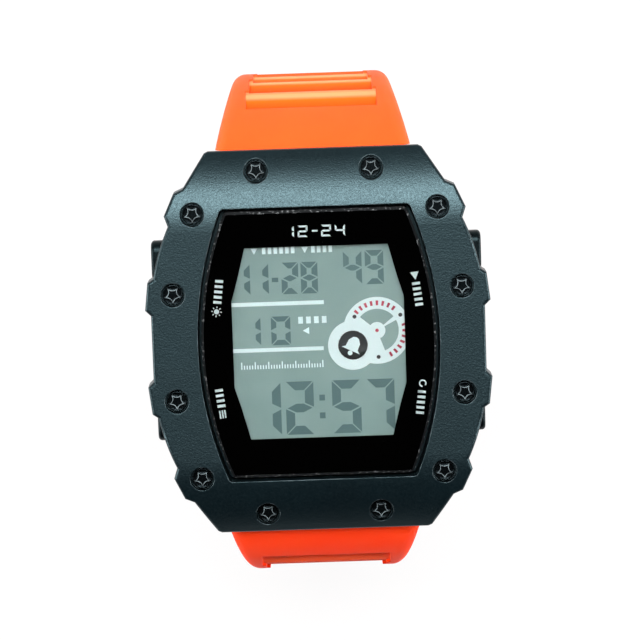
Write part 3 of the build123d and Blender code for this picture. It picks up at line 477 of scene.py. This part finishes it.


# Paints shade into the louvre floors and a highlight onto their crests, as base colour.
def paint_louvre_shade_and_highlight(finish, deep, floor_shade, crest_highlight):
    tree, shader, where = opened(finish)
    parts = tree.nodes.new("ShaderNodeSeparateXYZ")
    tree.links.new(where.outputs["Object"], parts.inputs[0])
    arm = tree.nodes.new("ShaderNodeCombineXYZ")
    tree.links.new(away_from(tree, parts.outputs["Y"], BEND_Y), arm.inputs["Y"])
    tree.links.new(maths(tree, "ADD", parts.outputs["Z"], -BEND_Z * MM), arm.inputs["Z"])
    length = tree.nodes.new("ShaderNodeVectorMath")
    length.operation = "LENGTH"
    tree.links.new(arm.outputs[0], length.inputs[0])
    reach = length.outputs["Value"]
    ramp = tree.nodes.new("ShaderNodeValToRGB")
    first, last = ramp.color_ramp.elements
    first.position = DEEP_STOP
    first.color = deep
    last.position = CREST_STOP
    last.color = crest_highlight
    ramp.color_ramp.elements.new(FLOOR_STOP).color = floor_shade
    tree.links.new(between(tree, reach, RAMP_RADII), ramp.inputs["Fac"])
    over_base(tree, shader, painted_louvre_mask(tree, reach, away_from(tree, parts.outputs["X"], 0)), deep)
    layer = shader.inputs["Base Color"].links[0].from_node
    tree.links.new(ramp.outputs["Color"], layer.inputs["B"])


# Both strap finishes get painted shade in the louvre floors and a painted highlight on the crests.
paint_louvre_shade_and_highlight(strap_resin, colour(248, 72, 2), colour(252, 97, 14), colour(255, 150, 100))
paint_louvre_shade_and_highlight(painted_shade_resin, colour(232, 48, 0), colour(238, 60, 4), colour(250, 84, 36))
print("the louvres' colours change over", round(RAMP_RADII[1] - RAMP_RADII[0], 2), "mm")

# %% [markdown]
# ## Resins inside the case
# The gaskets are soft black rubber. The module's frame and base are off-white moulded plastic, and the
# processor sits under a drop of black epoxy. They are hidden when the watch is whole, but they are
# pieces of their own, so each has a finish to be seen when the watch is opened.

# %% Inner resins
gasket_rubber = moulded("gasket_rubber", colour(30, 30, 31), colour(22, 22, 23), rough=(0.5, 0.65),
                        grain=0.1, depth=0.004)
module_plastic = moulded("module_plastic", colour(222, 222, 214), colour(212, 211, 202), rough=(0.4, 0.5),
                         grain=0.4, depth=0.003)
chip_resin = moulded("chip_resin", colour(26, 26, 27), colour(34, 33, 32), rough=(0.3, 0.5), grain=0.5,
                     depth=0.01)
print("inner resins:", gasket_rubber.name, module_plastic.name, chip_resin.name)

# %% [markdown]
# ## Metal
# Brushed steel could be made with the shader's anisotropy, but real scratches also change from line to
# line. So noise is stretched far along one axis and drives both the roughness and a very shallow bump,
# and the highlight breaks into fine lines. The case back is brushed from 12 to 6 o'clock. Turned pins
# and screws are brushed round, which at this size reads as fine noise.

# %% Metal finishes
LONG_BRUSH = (14, 0.6, 14)


def brushed(name, base, shade, rough, stretch, grain=0.5, depth=0.0015, edge=None):
    finish, tree, shader, place = new_finish(name)
    shader.inputs["Metallic"].default_value = 1.0
    streaks = noise(tree, place, grain, detail=4, stretch=stretch)
    tree.links.new(mixed(tree, spread(tree, streaks, 0, 1), base, shade), shader.inputs["Base Color"])
    low, high = rough
    tree.links.new(spread(tree, streaks, low, high), shader.inputs["Roughness"])
    bump(tree, shader, streaks, depth, before=soft_edges(tree, edge) if edge else None)
    return finish


steel_plate = brushed("steel_plate", colour(196, 197, 199), colour(176, 177, 180), rough=(0.26, 0.4),
                      stretch=LONG_BRUSH)
steel_turned = brushed("steel_turned", colour(205, 205, 207), colour(186, 187, 190), rough=(0.18, 0.3),
                       stretch=(1, 1, 6))
steel_wire = brushed("steel_wire", colour(190, 190, 192), colour(160, 160, 164), rough=(0.2, 0.3),
                     stretch=(3, 3, 3))
screw_steel = brushed("screw_steel", colour(34, 41, 44), colour(24, 30, 32), rough=(0.2, 0.3),
                      stretch=(2, 2, 2), grain=0.4, depth=0.002, edge=0.1)
buckle_steel = brushed("buckle_steel", colour(206, 207, 209), colour(192, 193, 196), rough=(0.36, 0.46),
                       stretch=LONG_BRUSH, depth=0.0005, edge=0.12)
brass_sheet = brushed("brass_sheet", colour(214, 184, 112), colour(196, 164, 92), rough=(0.25, 0.38),
                      stretch=(6, 1, 6))
coil_copper = brushed("coil_copper", colour(190, 112, 66), colour(150, 82, 46), rough=(0.25, 0.4),
                      stretch=(1, 1, 30), grain=0.6, depth=0.01)
print("metals:", steel_plate.name, steel_turned.name, screw_steel.name)

# %% [markdown]
# ## Glass
# The crystal is flat mineral glass: clear, hard and smooth, with faint wiping marks that only show in
# its roughness. Its rim is ground, so it is frosted. Its colour there is dark, with pale specks of painted
# glint. The rim could be a material of its own, but a mask from the true normal finds it just as well: on
# the two polished faces the normal stands upright.

# %% Glass finishes
WIPE_WIDTH = 3.0
WAVE_WIDTH = 6.0
WAVE_DEPTH = 0.0004
UPRIGHT = (0.95, 0.98)
GLINT_WIDTH = 0.35
GLINT_NOISE = (0.58, 0.7)


def clear(name, tint, rough, index):
    finish, tree, shader, place = new_finish(name)
    shader.inputs["Base Color"].default_value = tint
    shader.inputs["Transmission Weight"].default_value = 1.0
    shader.inputs["IOR"].default_value = index
    low, high = rough
    wiped = spread(tree, noise(tree, place, WIPE_WIDTH, detail=5), low, high)
    tree.links.new(wiped, shader.inputs["Roughness"])
    bump(tree, shader, noise(tree, place, WAVE_WIDTH, detail=1), WAVE_DEPTH)
    return finish


def ground_edge(finish, face_rough, edge_rough, edge_clear, dark, painted_glint):
    """Frosted and dark where the glass isn't flat, with pale specks of painted glint."""
    tree, shader, where = opened(finish)
    facing = tree.nodes.new("ShaderNodeSeparateXYZ")
    tree.links.new(where.outputs["Normal"], facing.inputs[0])
    upright = maths(tree, "ABSOLUTE", facing.outputs["Z"])
    edge = spread(tree, upright, 1, 0, *UPRIGHT)
    clearness = spread(tree, edge, 1.0, edge_clear, low_in=0, high_in=1)
    roughness = spread(tree, edge, face_rough, edge_rough, low_in=0, high_in=1)
    tree.links.new(clearness, shader.inputs["Transmission Weight"])
    tree.links.new(roughness, shader.inputs["Roughness"])
    tree.links.new(mixed(tree, edge, (1, 1, 1, 1), dark), shader.inputs["Base Color"])
    # Pale specks on the rim: painted glints.
    glint_specks = spread(tree, noise(tree, where.outputs["Object"], GLINT_WIDTH, detail=2), 0, 1, *GLINT_NOISE)
    over_base(tree, shader, maths(tree, "MULTIPLY", edge, glint_specks), painted_glint)


crystal_glass = clear("crystal_glass", (1, 1, 1, 1), rough=(0.0, 0.02), index=1.45)
ground_edge(crystal_glass, face_rough=0.01, edge_rough=0.5, edge_clear=0.2, dark=colour(20, 22, 24),
            painted_glint=colour(140, 143, 144))
display_glass = clear("display_glass", colour(236, 244, 240), rough=(0.0, 0.03), index=1.5)
guide_plastic = clear("light_guide_plastic", colour(232, 240, 240), rough=(0.1, 0.25), index=1.49)
print("clear finishes:", crystal_glass.name, display_glass.name, guide_plastic.name)

# %% [markdown]
# ## Films, print and the board
# The display's film is what the eye sees through the glass: a pale grey green over a bright reflector.
# The border is black print on the underside of the crystal. Films, print, the board's green varnish
# and the ceramic parts on it are all thin and smooth, so one short function makes them.

# %% Film finishes
def film(name, base, shade, rough, grain, depth):
    return moulded(name, base, shade, rough, grain, depth, wander=5.0)


polariser_film = film("polariser_film", colour(138, 165, 161), colour(130, 158, 154), rough=(0.3, 0.36),
                      grain=0.12, depth=0.002)
reflector_film = film("reflector_film", colour(196, 204, 200), colour(184, 192, 190), rough=(0.3, 0.4),
                      grain=0.1, depth=0.004)
border_print = film("border_print", colour(3, 4, 6), colour(1, 2, 4), rough=(0.12, 0.18), grain=0.3,
                    depth=0.0005)
dusted(border_print, grain=0.3, tips_from=0.79, dust=colour(96, 98, 100))
connector_rubber = film("connector_rubber", colour(196, 160, 168), colour(120, 96, 104), rough=(0.5, 0.6),
                        grain=0.1, depth=0.01)
ceramic_chip = film("ceramic_chip", colour(190, 160, 128), colour(168, 138, 108), rough=(0.4, 0.55),
                    grain=0.2, depth=0.006)
lamp_plastic = film("lamp_plastic", colour(246, 240, 214), colour(236, 228, 198), rough=(0.25, 0.35),
                    grain=0.3, depth=0.003)
board_green = film("board_green", colour(30, 92, 58), colour(22, 76, 46), rough=(0.3, 0.42), grain=0.4,
                   depth=0.006)
print("films:", polariser_film.name, reflector_film.name, border_print.name)

# %% [markdown]
# ## Every piece gets its finish
# A table from piece to finish is read more easily than fifty separate lines, and a missing name would
# stop the script at once. The pieces of the four buttons have the same four names after the button's
# own, so a loop adds them.

# %% Dress the pieces
BUTTONS = ("light", "mode", "start", "reset")
finish_of = {
    "bezel": bezel_resin, "case_body": case_resin, "case_back": steel_plate, "case_back_screws": steel_turned,
    "case_back_gasket": gasket_rubber, "crystal_gasket": gasket_rubber, "bezel_screws": screw_steel,
    "crystal": crystal_glass, "crystal_border": border_print, "display_polariser": polariser_film,
    "display_front_glass": display_glass, "display_rear_glass": display_glass,
    "display_reflector": reflector_film, "light_guide": guide_plastic, "backlight_lamp": lamp_plastic,
    "zebra_strips": connector_rubber, "module_frame": module_plastic, "module_base": module_plastic,
    "circuit_board": board_green, "processor": chip_resin, "quartz_can": steel_turned,
    "capacitors": ceramic_chip, "stepup_coil": coil_copper, "battery": steel_turned,
    "battery_clip": steel_plate, "buzzer_disc": brass_sheet, "buzzer_spring": steel_wire,
    "side_contacts": steel_plate, "top_spring_bar": steel_turned, "bottom_spring_bar": steel_turned,
    # The hole side, at 6 o'clock, takes the darker copy of the strap finish: painted shade.
    "strap_buckle_side": strap_resin, "strap_hole_side": painted_shade_resin, "strap_keeper": strap_resin,
    "buckle_frame": buckle_steel, "buckle_pin": steel_turned, "buckle_tongue": buckle_steel,
}
for button in BUTTONS:
    finish_of[f"{button}_button"] = button_resin
    finish_of[f"{button}_button_spring"] = steel_wire
    finish_of[f"{button}_button_oring"] = gasket_rubber
    finish_of[f"{button}_button_retainer"] = steel_wire
for name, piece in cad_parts.items():
    piece.data.materials.clear()
    piece.data.materials.append(finish_of[name])
print("dressed", len(finish_of), "of", len(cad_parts))

# %% [markdown]
# ## Printed and shown shapes
# Ink and display segments have almost no thickness. A picture of them could be laid on the display,
# but drawn shapes stay sharp from close by. Each is a flat outline, filled and raised by two hundredths
# of a millimetre, so it never flickers on its carrier.

# %% Flat pieces
INK = 0.02


def new_piece(name, shapes, finish):
    """A new object from a bmesh, with its normals turned outward and its finish on."""
    bmesh.ops.recalc_face_normals(shapes, faces=shapes.faces)
    mesh = bpy.data.meshes.new(name)
    shapes.to_mesh(mesh)
    shapes.free()
    mesh.materials.append(finish)
    piece = bpy.data.objects.new(name, mesh)
    bpy.context.scene.collection.objects.link(piece)
    return piece


def flat_piece(name, outlines, level, finish):
    """A piece from closed outlines in millimetres, one ink layer thick, all lying at one level or each
    at its own from a list."""
    shapes = bmesh.new()
    levels = level if isinstance(level, list) else [level] * len(outlines)
    for outline, low in zip(outlines, levels):
        top = [shapes.verts.new((x * MM, y * MM, (low + INK) * MM)) for x, y in outline]
        foot = [shapes.verts.new((x * MM, y * MM, low * MM)) for x, y in outline]
        shapes.faces.new(top)
        shapes.faces.new(list(reversed(foot)))
        for index in range(len(outline)):
            after = (index + 1) % len(outline)
            shapes.faces.new((top[index], foot[index], foot[after], top[after]))
    piece = new_piece(name, shapes, finish)
    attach(piece, "case")


print("one ink layer is", INK, "mm")

# %% [markdown]
# ## Outlines to draw with
# Everything printed is built from a few outlines: discs, bars and bands of a ring. A band is cut into
# short four-sided parts, because a fill with a hole in it would come out as faces with stray edges.

# %% Outlines
def disc(centre, radius, steps=40):
    corners = []
    for index in range(steps):
        angle = 2 * math.pi * index / steps
        corners.append((centre[0] + radius * math.cos(angle), centre[1] + radius * math.sin(angle)))
    return corners


def ring_parts(centre, inner, outer, start, end, steps):
    """A band between two radii, as a row of four-sided outlines from one angle to another."""
    parts = []
    for index in range(steps):
        first, last = (math.radians(start + (end - start) * step / steps) for step in (index, index + 1))
        corners = ((inner, first), (outer, first), (outer, last), (inner, last))
        parts.append([(centre[0] + away * math.cos(angle), centre[1] + away * math.sin(angle))
                      for away, angle in corners])
    return parts


def bar(x, y, width, height):
    return [(x, y), (x + width, y), (x + width, y + height), (x, y + height)]


def bar_row(count, x, y, step, width, height):
    """Equal bars side by side, from a first left edge on."""
    return [bar(x + index * step, y, width, height) for index in range(count)]


def placed(shapes, x, y, turn=0, size=1):
    """Outlines scaled, turned by an angle in degrees, and moved to a place."""
    cosine = math.cos(math.radians(turn))
    sine = math.sin(math.radians(turn))
    return [[(x + size * (cosine * a - sine * b), y + size * (sine * a + cosine * b)) for a, b in shape]
            for shape in shapes]


print("a disc has", len(disc((0, 0), 1)), "corners")

# %% [markdown]
# ## Painted highlights on the screw heads
# Each bezel screw has five pockets in its head, and the star left between them gets a painted highlight
# along its edges. The places could be typed in, but the screws are found in the imported mesh itself:
# vertices near each other belong to one screw, whose box gives its middle and the height of its head.

# %% Find the screws
HEAD_REACH = 2.6


def screw_heads(piece):
    """The middle and top of each screw in a mesh, in millimetres."""
    groups = []
    for vertex in piece.data.vertices:
        spot = vertex.co / MM
        home = next((group for group in groups if (group[0].xy - spot.xy).length < HEAD_REACH), None)
        if home:
            home.append(spot)
        else:
            groups.append([spot])
    heads = []
    for group in groups:
        x, y, z = ([spot[axis] for spot in group] for axis in range(3))
        heads.append(((min(x) + max(x)) / 2, (min(y) + max(y)) / 2, max(z)))
    return heads


heads = screw_heads(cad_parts["bezel_screws"])
print("screw heads found:", len(heads))

# %% [markdown]
# The edge of each pocket is an arc of a circle that lies beyond the head's rim. A narrow band just
# inside that arc is the painted highlight.

# %% Star edges
STAR_POINTS = 5
POCKET_RADIUS = 0.74
POCKET_AWAY = 1.335
POCKET_HALF_ANGLE = 52
HIGHLIGHT_WIDTH = 0.09
ARC_STEPS = 12

# Pale lines along the star's edges: painted highlights.
painted_star_highlight = moulded("painted_star_highlight", colour(126, 140, 144), colour(52, 60, 63), rough=(0.3, 0.4), grain=0.2,
                      depth=0.002, wander=0.7)
star_highlight_lines = []
star_levels = []
for x, y, top in heads:
    for index in range(STAR_POINTS):
        toward = 90 + 360 / STAR_POINTS * index
        centre = (x + POCKET_AWAY * math.cos(math.radians(toward)),
                  y + POCKET_AWAY * math.sin(math.radians(toward)))
        inward = toward + 180
        lines = ring_parts(centre, POCKET_RADIUS, POCKET_RADIUS + HIGHLIGHT_WIDTH, inward - POCKET_HALF_ANGLE,
                           inward + POCKET_HALF_ANGLE, ARC_STEPS)
        star_highlight_lines += lines
        star_levels += [top] * len(lines)
flat_piece("screw_star_painted_highlights", star_highlight_lines, star_levels, painted_star_highlight)
print("arcs drawn:", len(star_highlight_lines) // ARC_STEPS)

# %% [markdown]
# ## Seven segment numerals
# A liquid crystal numeral has seven bars. The outer six are cut at a slant where they meet, with thin
# gaps between them, and the middle one is pointed. A font could give such digits, but one function
# draws any of them in any box, from a short table of which bars are dark.

# %% Numerals
LIT = {"0": "abcdef", "1": "bc", "2": "abged", "3": "abgcd", "4": "fgbc", "5": "afgcd",
       "6": "afgcde", "7": "abc", "8": "abcdefg", "9": "abcdfg"}


def across_bar(x0, x1, y, thick, side):
    """A level bar whose long edge is the outer one: side 1 has it at the top, -1 at the foot."""
    return [(x0, y), (x1, y), (x1 - thick, y - side * thick), (x0 + thick, y - side * thick)]


def upright_bar(x, y0, y1, thick, side, low_cut, high_cut):
    """An upright bar with its long edge on one side and its ends cut slanting by the given amounts."""
    return [(x, y0), (x, y1), (x - side * thick, y1 - high_cut), (x - side * thick, y0 + low_cut)]


def numeral(digit, x, y, width, height, thick, gap=0.1):
    """Outlines of the dark bars of one digit in a box, with mitred corners and thin gaps."""
    right = x + width
    high = y + height
    waist = (y + high) / 2
    half = thick / 2
    tip = 2 * gap
    bars = {
        "a": across_bar(x + gap, right - gap, high, thick, 1),
        "d": across_bar(x + gap, right - gap, y, thick, -1),
        "g": [(x + tip, waist), (x + tip + thick, waist + half), (right - tip - thick, waist + half),
              (right - tip, waist), (right - tip - thick, waist - half), (x + tip + thick, waist - half)],
        "f": upright_bar(x, waist + gap, high - gap, thick, -1, half, thick),
        "e": upright_bar(x, y + gap, waist - gap, thick, -1, thick, half),
        "b": upright_bar(right, waist + gap, high - gap, thick, 1, half, thick),
        "c": upright_bar(right, y + gap, waist - gap, thick, 1, thick, half),
    }
    return [bars[letter] for letter in LIT[digit]]


print("an eight has", len(numeral("8", 0, 0, 2, 4, 0.7)), "bars")

# %% [markdown]
# ## What the display shows
# The display has four groups of digits: the date at the top left, the seconds beside it, the day below
# and the time at the foot. All dark bars of a group are one piece, as one layer of the display makes
# them. Each digit is given with its left edge and its width, since a one is drawn narrower.

# %% Digits on the display
segment_dark = film("segment_dark", colour(73, 105, 106), colour(80, 111, 112), rough=(0.35, 0.45),
                    grain=0.2, depth=0.001)


def digit_group(name, digits, y, height, thick, dots=()):
    """One group of digits on the film, with its dash or colon, and how many bars it has."""
    shapes = []
    for digit, x, width in digits:
        shapes += numeral(digit, x, y, width, height, thick)
    shapes += dots
    flat_piece(name, shapes, film_top, segment_dark)
    return len(shapes)


date_digits = (("1", -10.2, 1.9), ("1", -7.9, 1.9), ("2", -4.4, 2.1), ("8", -2.0, 2.1))
dash = bar(x=-5.6, y=7.6, width=0.8, height=0.55)
second_digits = (("4", 3.3, 2.3), ("9", 6.0, 2.3))
time_digits = (("1", -7.9, 2.9), ("2", -4.4, 3.5), ("5", 1.4, 3.6), ("7", 5.7, 3.5))
colon = [bar(x=-0.2, y=dot_y, width=0.7, height=0.75) for dot_y in (-7.46, -9.71)]
day_digits = (("1", -9.6, 2.4), ("0", -5.9, 2.4))
shown = digit_group("date_numerals", date_digits, y=6.05, height=3.95, thick=0.75, dots=[dash])
shown += digit_group("second_numerals", second_digits, y=6.95, height=4.25, thick=0.72)
shown += digit_group("time_numerals", time_digits, y=-11.66, height=6.7, thick=1.1, dots=colon)
shown += digit_group("day_numerals", day_digits, y=-0.3, height=3.6, thick=0.65)
print("bars shown:", shown)

# %% [markdown]
# ## White print over the display
# Two thin white lines part the display into rows, with small marks over and beside them. The print
# lies on the front of the film, over the segments, and never changes. White, red and dark ink differ
# only in colour.

# %% Parting lines
white_ink = film("white_ink", colour(236, 255, 255), colour(230, 251, 251), rough=(0.35, 0.45), grain=0.2,
                 depth=0.001)
red_ink = film("red_ink", colour(178, 58, 82), colour(160, 48, 72), rough=(0.35, 0.45), grain=0.2,
               depth=0.001)
dark_ink = film("dark_ink", colour(34, 40, 42), colour(28, 33, 35), rough=(0.35, 0.45), grain=0.2,
                depth=0.001)
LINE_LEFT = -10.75
LINE_THICK = 0.5
line_shapes = [bar(LINE_LEFT, y=4.65, width=11.5, height=LINE_THICK),
               bar(LINE_LEFT, y=-1.12, width=11.3, height=LINE_THICK)]
flat_piece("parting_lines", line_shapes, film_top, white_ink)
print("lines:", len(line_shapes))

# %% [markdown]
# Small arrowheads point at the digits, rows of bars stand over and beside them, and a scale with every
# fifth mark taller runs over the time. They are one piece, as they are one print.

# %% Marks
ARROWHEAD = [(0.0, -0.6), (0.55, 0.4), (-0.55, 0.4)]
TOP_ROW_Y = 11.12
SCALE_LEFT = -9.8
SCALE_Y = -3.25
SCALE_MARKS = 31
SCALE_STEP = 0.337
SCALE_LINE = 0.15
TALL_EVERY = 5

mark_shapes = []
for x in (-7.7, -1.4):
    mark_shapes += placed([ARROWHEAD], x, y=11.55, size=0.75)
mark_shapes += placed([ARROWHEAD], x=-1.5, y=1.4, turn=-90, size=0.8)
for count, x in ((6, -6.7), (4, -0.6)):
    mark_shapes += bar_row(count, x, TOP_ROW_Y, step=0.72, width=0.44, height=0.8)
mark_shapes += bar_row(4, x=-2.5, y=2.3, step=0.98, width=0.58, height=0.86)
for index in range(SCALE_MARKS):
    tall = 0.9 if index % TALL_EVERY == 0 else 0.5
    mark_shapes.append(bar(SCALE_LEFT + index * SCALE_STEP, SCALE_Y, SCALE_LINE, tall))
flat_piece("scale_marks", mark_shapes, film_top, white_ink)
print("marks:", len(mark_shapes))

# %% [markdown]
# ## The emblem
# Beside the day stands a round emblem in white print: a spoked wheel, cut off by the window's edge,
# and a smaller disc in front of it, which holds a bell for the alarm. The wheel's rim and spokes are
# bands of rings round one centre. Between the spokes lies a face in the film's own colour. It is half a
# layer lower than the ink, so that the two never share a surface.

# %% Wheel
WINDOW_EDGE = 10.72
WHEEL_CENTRE = (7.25, 1.14)
RIM_INNER = 2.7
RIM_OUTER = 4.2
RIM_STEPS = 96
HUB_RADIUS = 1.05
SPOKES = ((33, 6), (155, 15), (275, 15))
SPOKE_INNER = 1.0
SPOKE_OUTER = 2.75
SPOKE_STEPS = 8
FACE_RADIUS = 2.72


def cut_at_window(shapes):
    """Outlines with everything right of the window's edge moved back to it."""
    return [[(min(x, WINDOW_EDGE), y) for x, y in shape] for shape in shapes]


wheel = ring_parts(WHEEL_CENTRE, RIM_INNER, RIM_OUTER, 0, 360, RIM_STEPS)
for angle, half_width in SPOKES:
    wheel += ring_parts(WHEEL_CENTRE, SPOKE_INNER, SPOKE_OUTER, angle - half_width, angle + half_width,
                        SPOKE_STEPS)
wheel.append(disc(WHEEL_CENTRE, HUB_RADIUS))
flat_piece("alarm_wheel", cut_at_window(wheel), film_top, white_ink)
face = cut_at_window([disc(WHEEL_CENTRE, FACE_RADIUS)])
flat_piece("alarm_wheel_face", face, film_top - INK / 2, polariser_film)
print("wheel parts:", len(wheel))

# %% [markdown]
# A second layer of ink lies on the wheel: the ring and dark disc behind the bell, red ticks round the
# rim, a red axle in the middle, and three small dark holes. The bell is a third layer.

# %% Bell disc, ticks and holes
BELL_CENTRE = (4.2, -0.62)
BELL_RING_INNER = 1.8
BELL_RING_OUTER = 3.1
BELL_RING_STEPS = 72
BELL_DISC_RADIUS = 1.85
TICK_ARCS = ((50, 136), (-64, 10))
TICK_STEP = 12
TICK_WIDTH = 5
TICK_INNER = 3.15
TICK_OUTER = 3.75
AXLE_RADIUS = 0.22
HOLE_RADIUS = 0.25
HOLE_CENTRES = ((4.5, 2.95), (10.2, 3.0), (7.35, -2.2))
SMALL_STEPS = 16
second_layer = film_top + INK

bell_ring = ring_parts(BELL_CENTRE, BELL_RING_INNER, BELL_RING_OUTER, 0, 360, BELL_RING_STEPS)
flat_piece("alarm_ring", bell_ring, second_layer, white_ink)
flat_piece("alarm_disc", [disc(BELL_CENTRE, BELL_DISC_RADIUS)], second_layer, dark_ink)
ticks = []
for start, end in TICK_ARCS:
    for angle in range(start, end, TICK_STEP):
        ticks += ring_parts(WHEEL_CENTRE, TICK_INNER, TICK_OUTER, angle, angle + TICK_WIDTH, 1)
ticks = cut_at_window(ticks)
ticks.append(disc(WHEEL_CENTRE, AXLE_RADIUS, SMALL_STEPS))
flat_piece("alarm_wheel_ticks", ticks, second_layer, red_ink)
holes = [disc(centre, HOLE_RADIUS, SMALL_STEPS) for centre in HOLE_CENTRES]
flat_piece("alarm_wheel_holes", holes, second_layer, dark_ink)
print("ticks:", len(ticks) - 1, "holes:", len(holes))

# %% [markdown]
# The bell is a plain one: a domed outline with flared lips, tilted a little, and a round clapper.

# %% Bell
BELL = [(-0.95, -0.55), (-0.62, -0.3), (-0.58, 0.35), (-0.3, 0.75), (0, 0.85), (0.3, 0.75), (0.58, 0.35),
        (0.62, -0.3), (0.95, -0.55)]
bell = placed([BELL], *BELL_CENTRE, turn=-26, size=1.3)
clapper = (BELL_CENTRE[0] - 0.38, BELL_CENTRE[1] - 0.95)
bell.append(disc(clapper, 0.3, SMALL_STEPS))
flat_piece("alarm_bell", bell, second_layer + INK, white_ink)
print("bell shapes:", len(bell))

# %% [markdown]
# ## Signs on the border
# Each button has a small sign printed next to it under the crystal, following the border's curve. Plain
# signs do here: a sun for the light, three lines for the mode, an arrowhead for start and an open ring
# for reset. Each is drawn level, with a short row of bars after it, and then turned into its place.
# The numbers over the display are its two hour counts.

# %% Signs
SIGN_LIFT = 0.01
SIGN_STEPS = 24
RAYS = 8


def sun():
    shapes = [disc((0, 0), 0.32, SIGN_STEPS)]
    for index in range(RAYS):
        ray = bar(x=0.46, y=-0.06, width=0.2, height=0.12)
        shapes += placed([ray], 0, 0, turn=index * 360 / RAYS)
    return shapes


def trail(count, start):
    """The short row of bars after a sign."""
    return bar_row(count, start, y=-0.5, step=0.66, width=0.34, height=1.0)


three_lines = [bar(x=-2.2, y=y, width=1.0, height=0.2) for y in (-0.42, -0.1, 0.22)]
open_ring = ring_parts((0, 0), inner=0.3, outer=0.48, start=60, end=360, steps=SIGN_STEPS)
light_sign = placed(sun(), -1.9, 0) + trail(5, -0.9)
mode_sign = three_lines + trail(4, -0.8)
start_sign = placed([ARROWHEAD], -1.9, 0, turn=90) + trail(5, -1.0)
reset_sign = placed(open_ring, -1.8, 0) + trail(5, -0.9)
signs = placed(light_sign, x=-12.35, y=6.1, turn=83)
signs += placed(mode_sign, x=-12.5, y=-7.0, turn=97)
signs += placed(start_sign, x=12.35, y=6.1, turn=-83)
signs += placed(reset_sign, x=12.5, y=-7.4, turn=-97)
for digit, x in (("1", -3.9), ("2", -2.2), ("2", 0.7), ("4", 2.4)):
    signs += numeral(digit, x, y=13.15, width=1.25, height=1.45, thick=0.24, gap=0.03)
signs.append(bar(x=-0.42, y=13.78, width=0.7, height=0.22))
flat_piece("border_signs", signs, border_top + SIGN_LIFT, white_ink)
print("sign shapes:", len(signs))

# %% [markdown]
# ## Return springs
# Pressing a button shortens the coil spring behind its head. A curve with a round bevel could be the
# wire, but a tube of vertices keeps its ends flat: a ring of points stands round each point of the
# wire's path.

# %% Coil
TURNS = 4
STEPS = 28
SIDES = 10
WIRE = 0.13
CLEAR = 0.02
END_CLOSING = 0.09
ALONG = Vector((1, 0, 0))


def coil(name, start, length, middle, radius, heading):
    """A coil spring along x from a start, with its first and last turns lying nearly closed."""
    shapes = bmesh.new()
    rings = []
    count = TURNS * STEPS
    for index in range(count + 1):
        share = index / count
        climb = share - END_CLOSING * math.sin(2 * math.pi * share)
        turn = 2 * math.pi * TURNS * share
        out = Vector((0, math.cos(turn), math.sin(turn)))
        x = start + heading * (WIRE + CLEAR + (length - 2 * WIRE - 2 * CLEAR) * climb)
        spot = Vector((x, *middle)) + out * radius
        ring = []
        for side in range(SIDES):
            angle = 2 * math.pi * side / SIDES
            around = math.cos(angle) * out + math.sin(angle) * ALONG
            ring.append(shapes.verts.new((spot + WIRE * around) * MM))
        rings.append(ring)
    for first, second in zip(rings, rings[1:]):
        for side in range(SIDES):
            after = (side + 1) % SIDES
            shapes.faces.new((first[side], first[after], second[after], second[side]))
    shapes.faces.new(rings[0])
    shapes.faces.new(list(reversed(rings[-1])))
    for face in shapes.faces:
        face.smooth = True
    return new_piece(name, shapes, steel_wire)


print("a spring has", TURNS, "turns of wire", 2 * WIRE, "mm thick")

# %% [markdown]
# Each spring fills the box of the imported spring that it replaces. Its foot stays on the case wall, and
# a small clearance is left between its last turn and the pressed button.

# %% Springs
for button in BUTTONS:
    node = f"{button}_button_spring"
    low, high = (Vector(corner) / MM for corner in box[node])
    heading = 1 if low.x > 0 else -1
    foot = low.x if heading > 0 else high.x
    length = high.x - low.x
    middle_line = ((low.y + high.y) / 2, (low.z + high.z) / 2)
    radius = (high.z - low.z) / 2 - WIRE
    spring = coil(f"{button}_return_spring", foot, length, middle_line, radius, heading)
    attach(spring, "case")
    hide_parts(node)
    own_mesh(spring)

# %% [markdown]
# ## The size
# The dressed watch must stay as large as the imported one.

# %% Sizes
print("the scene is dressed")
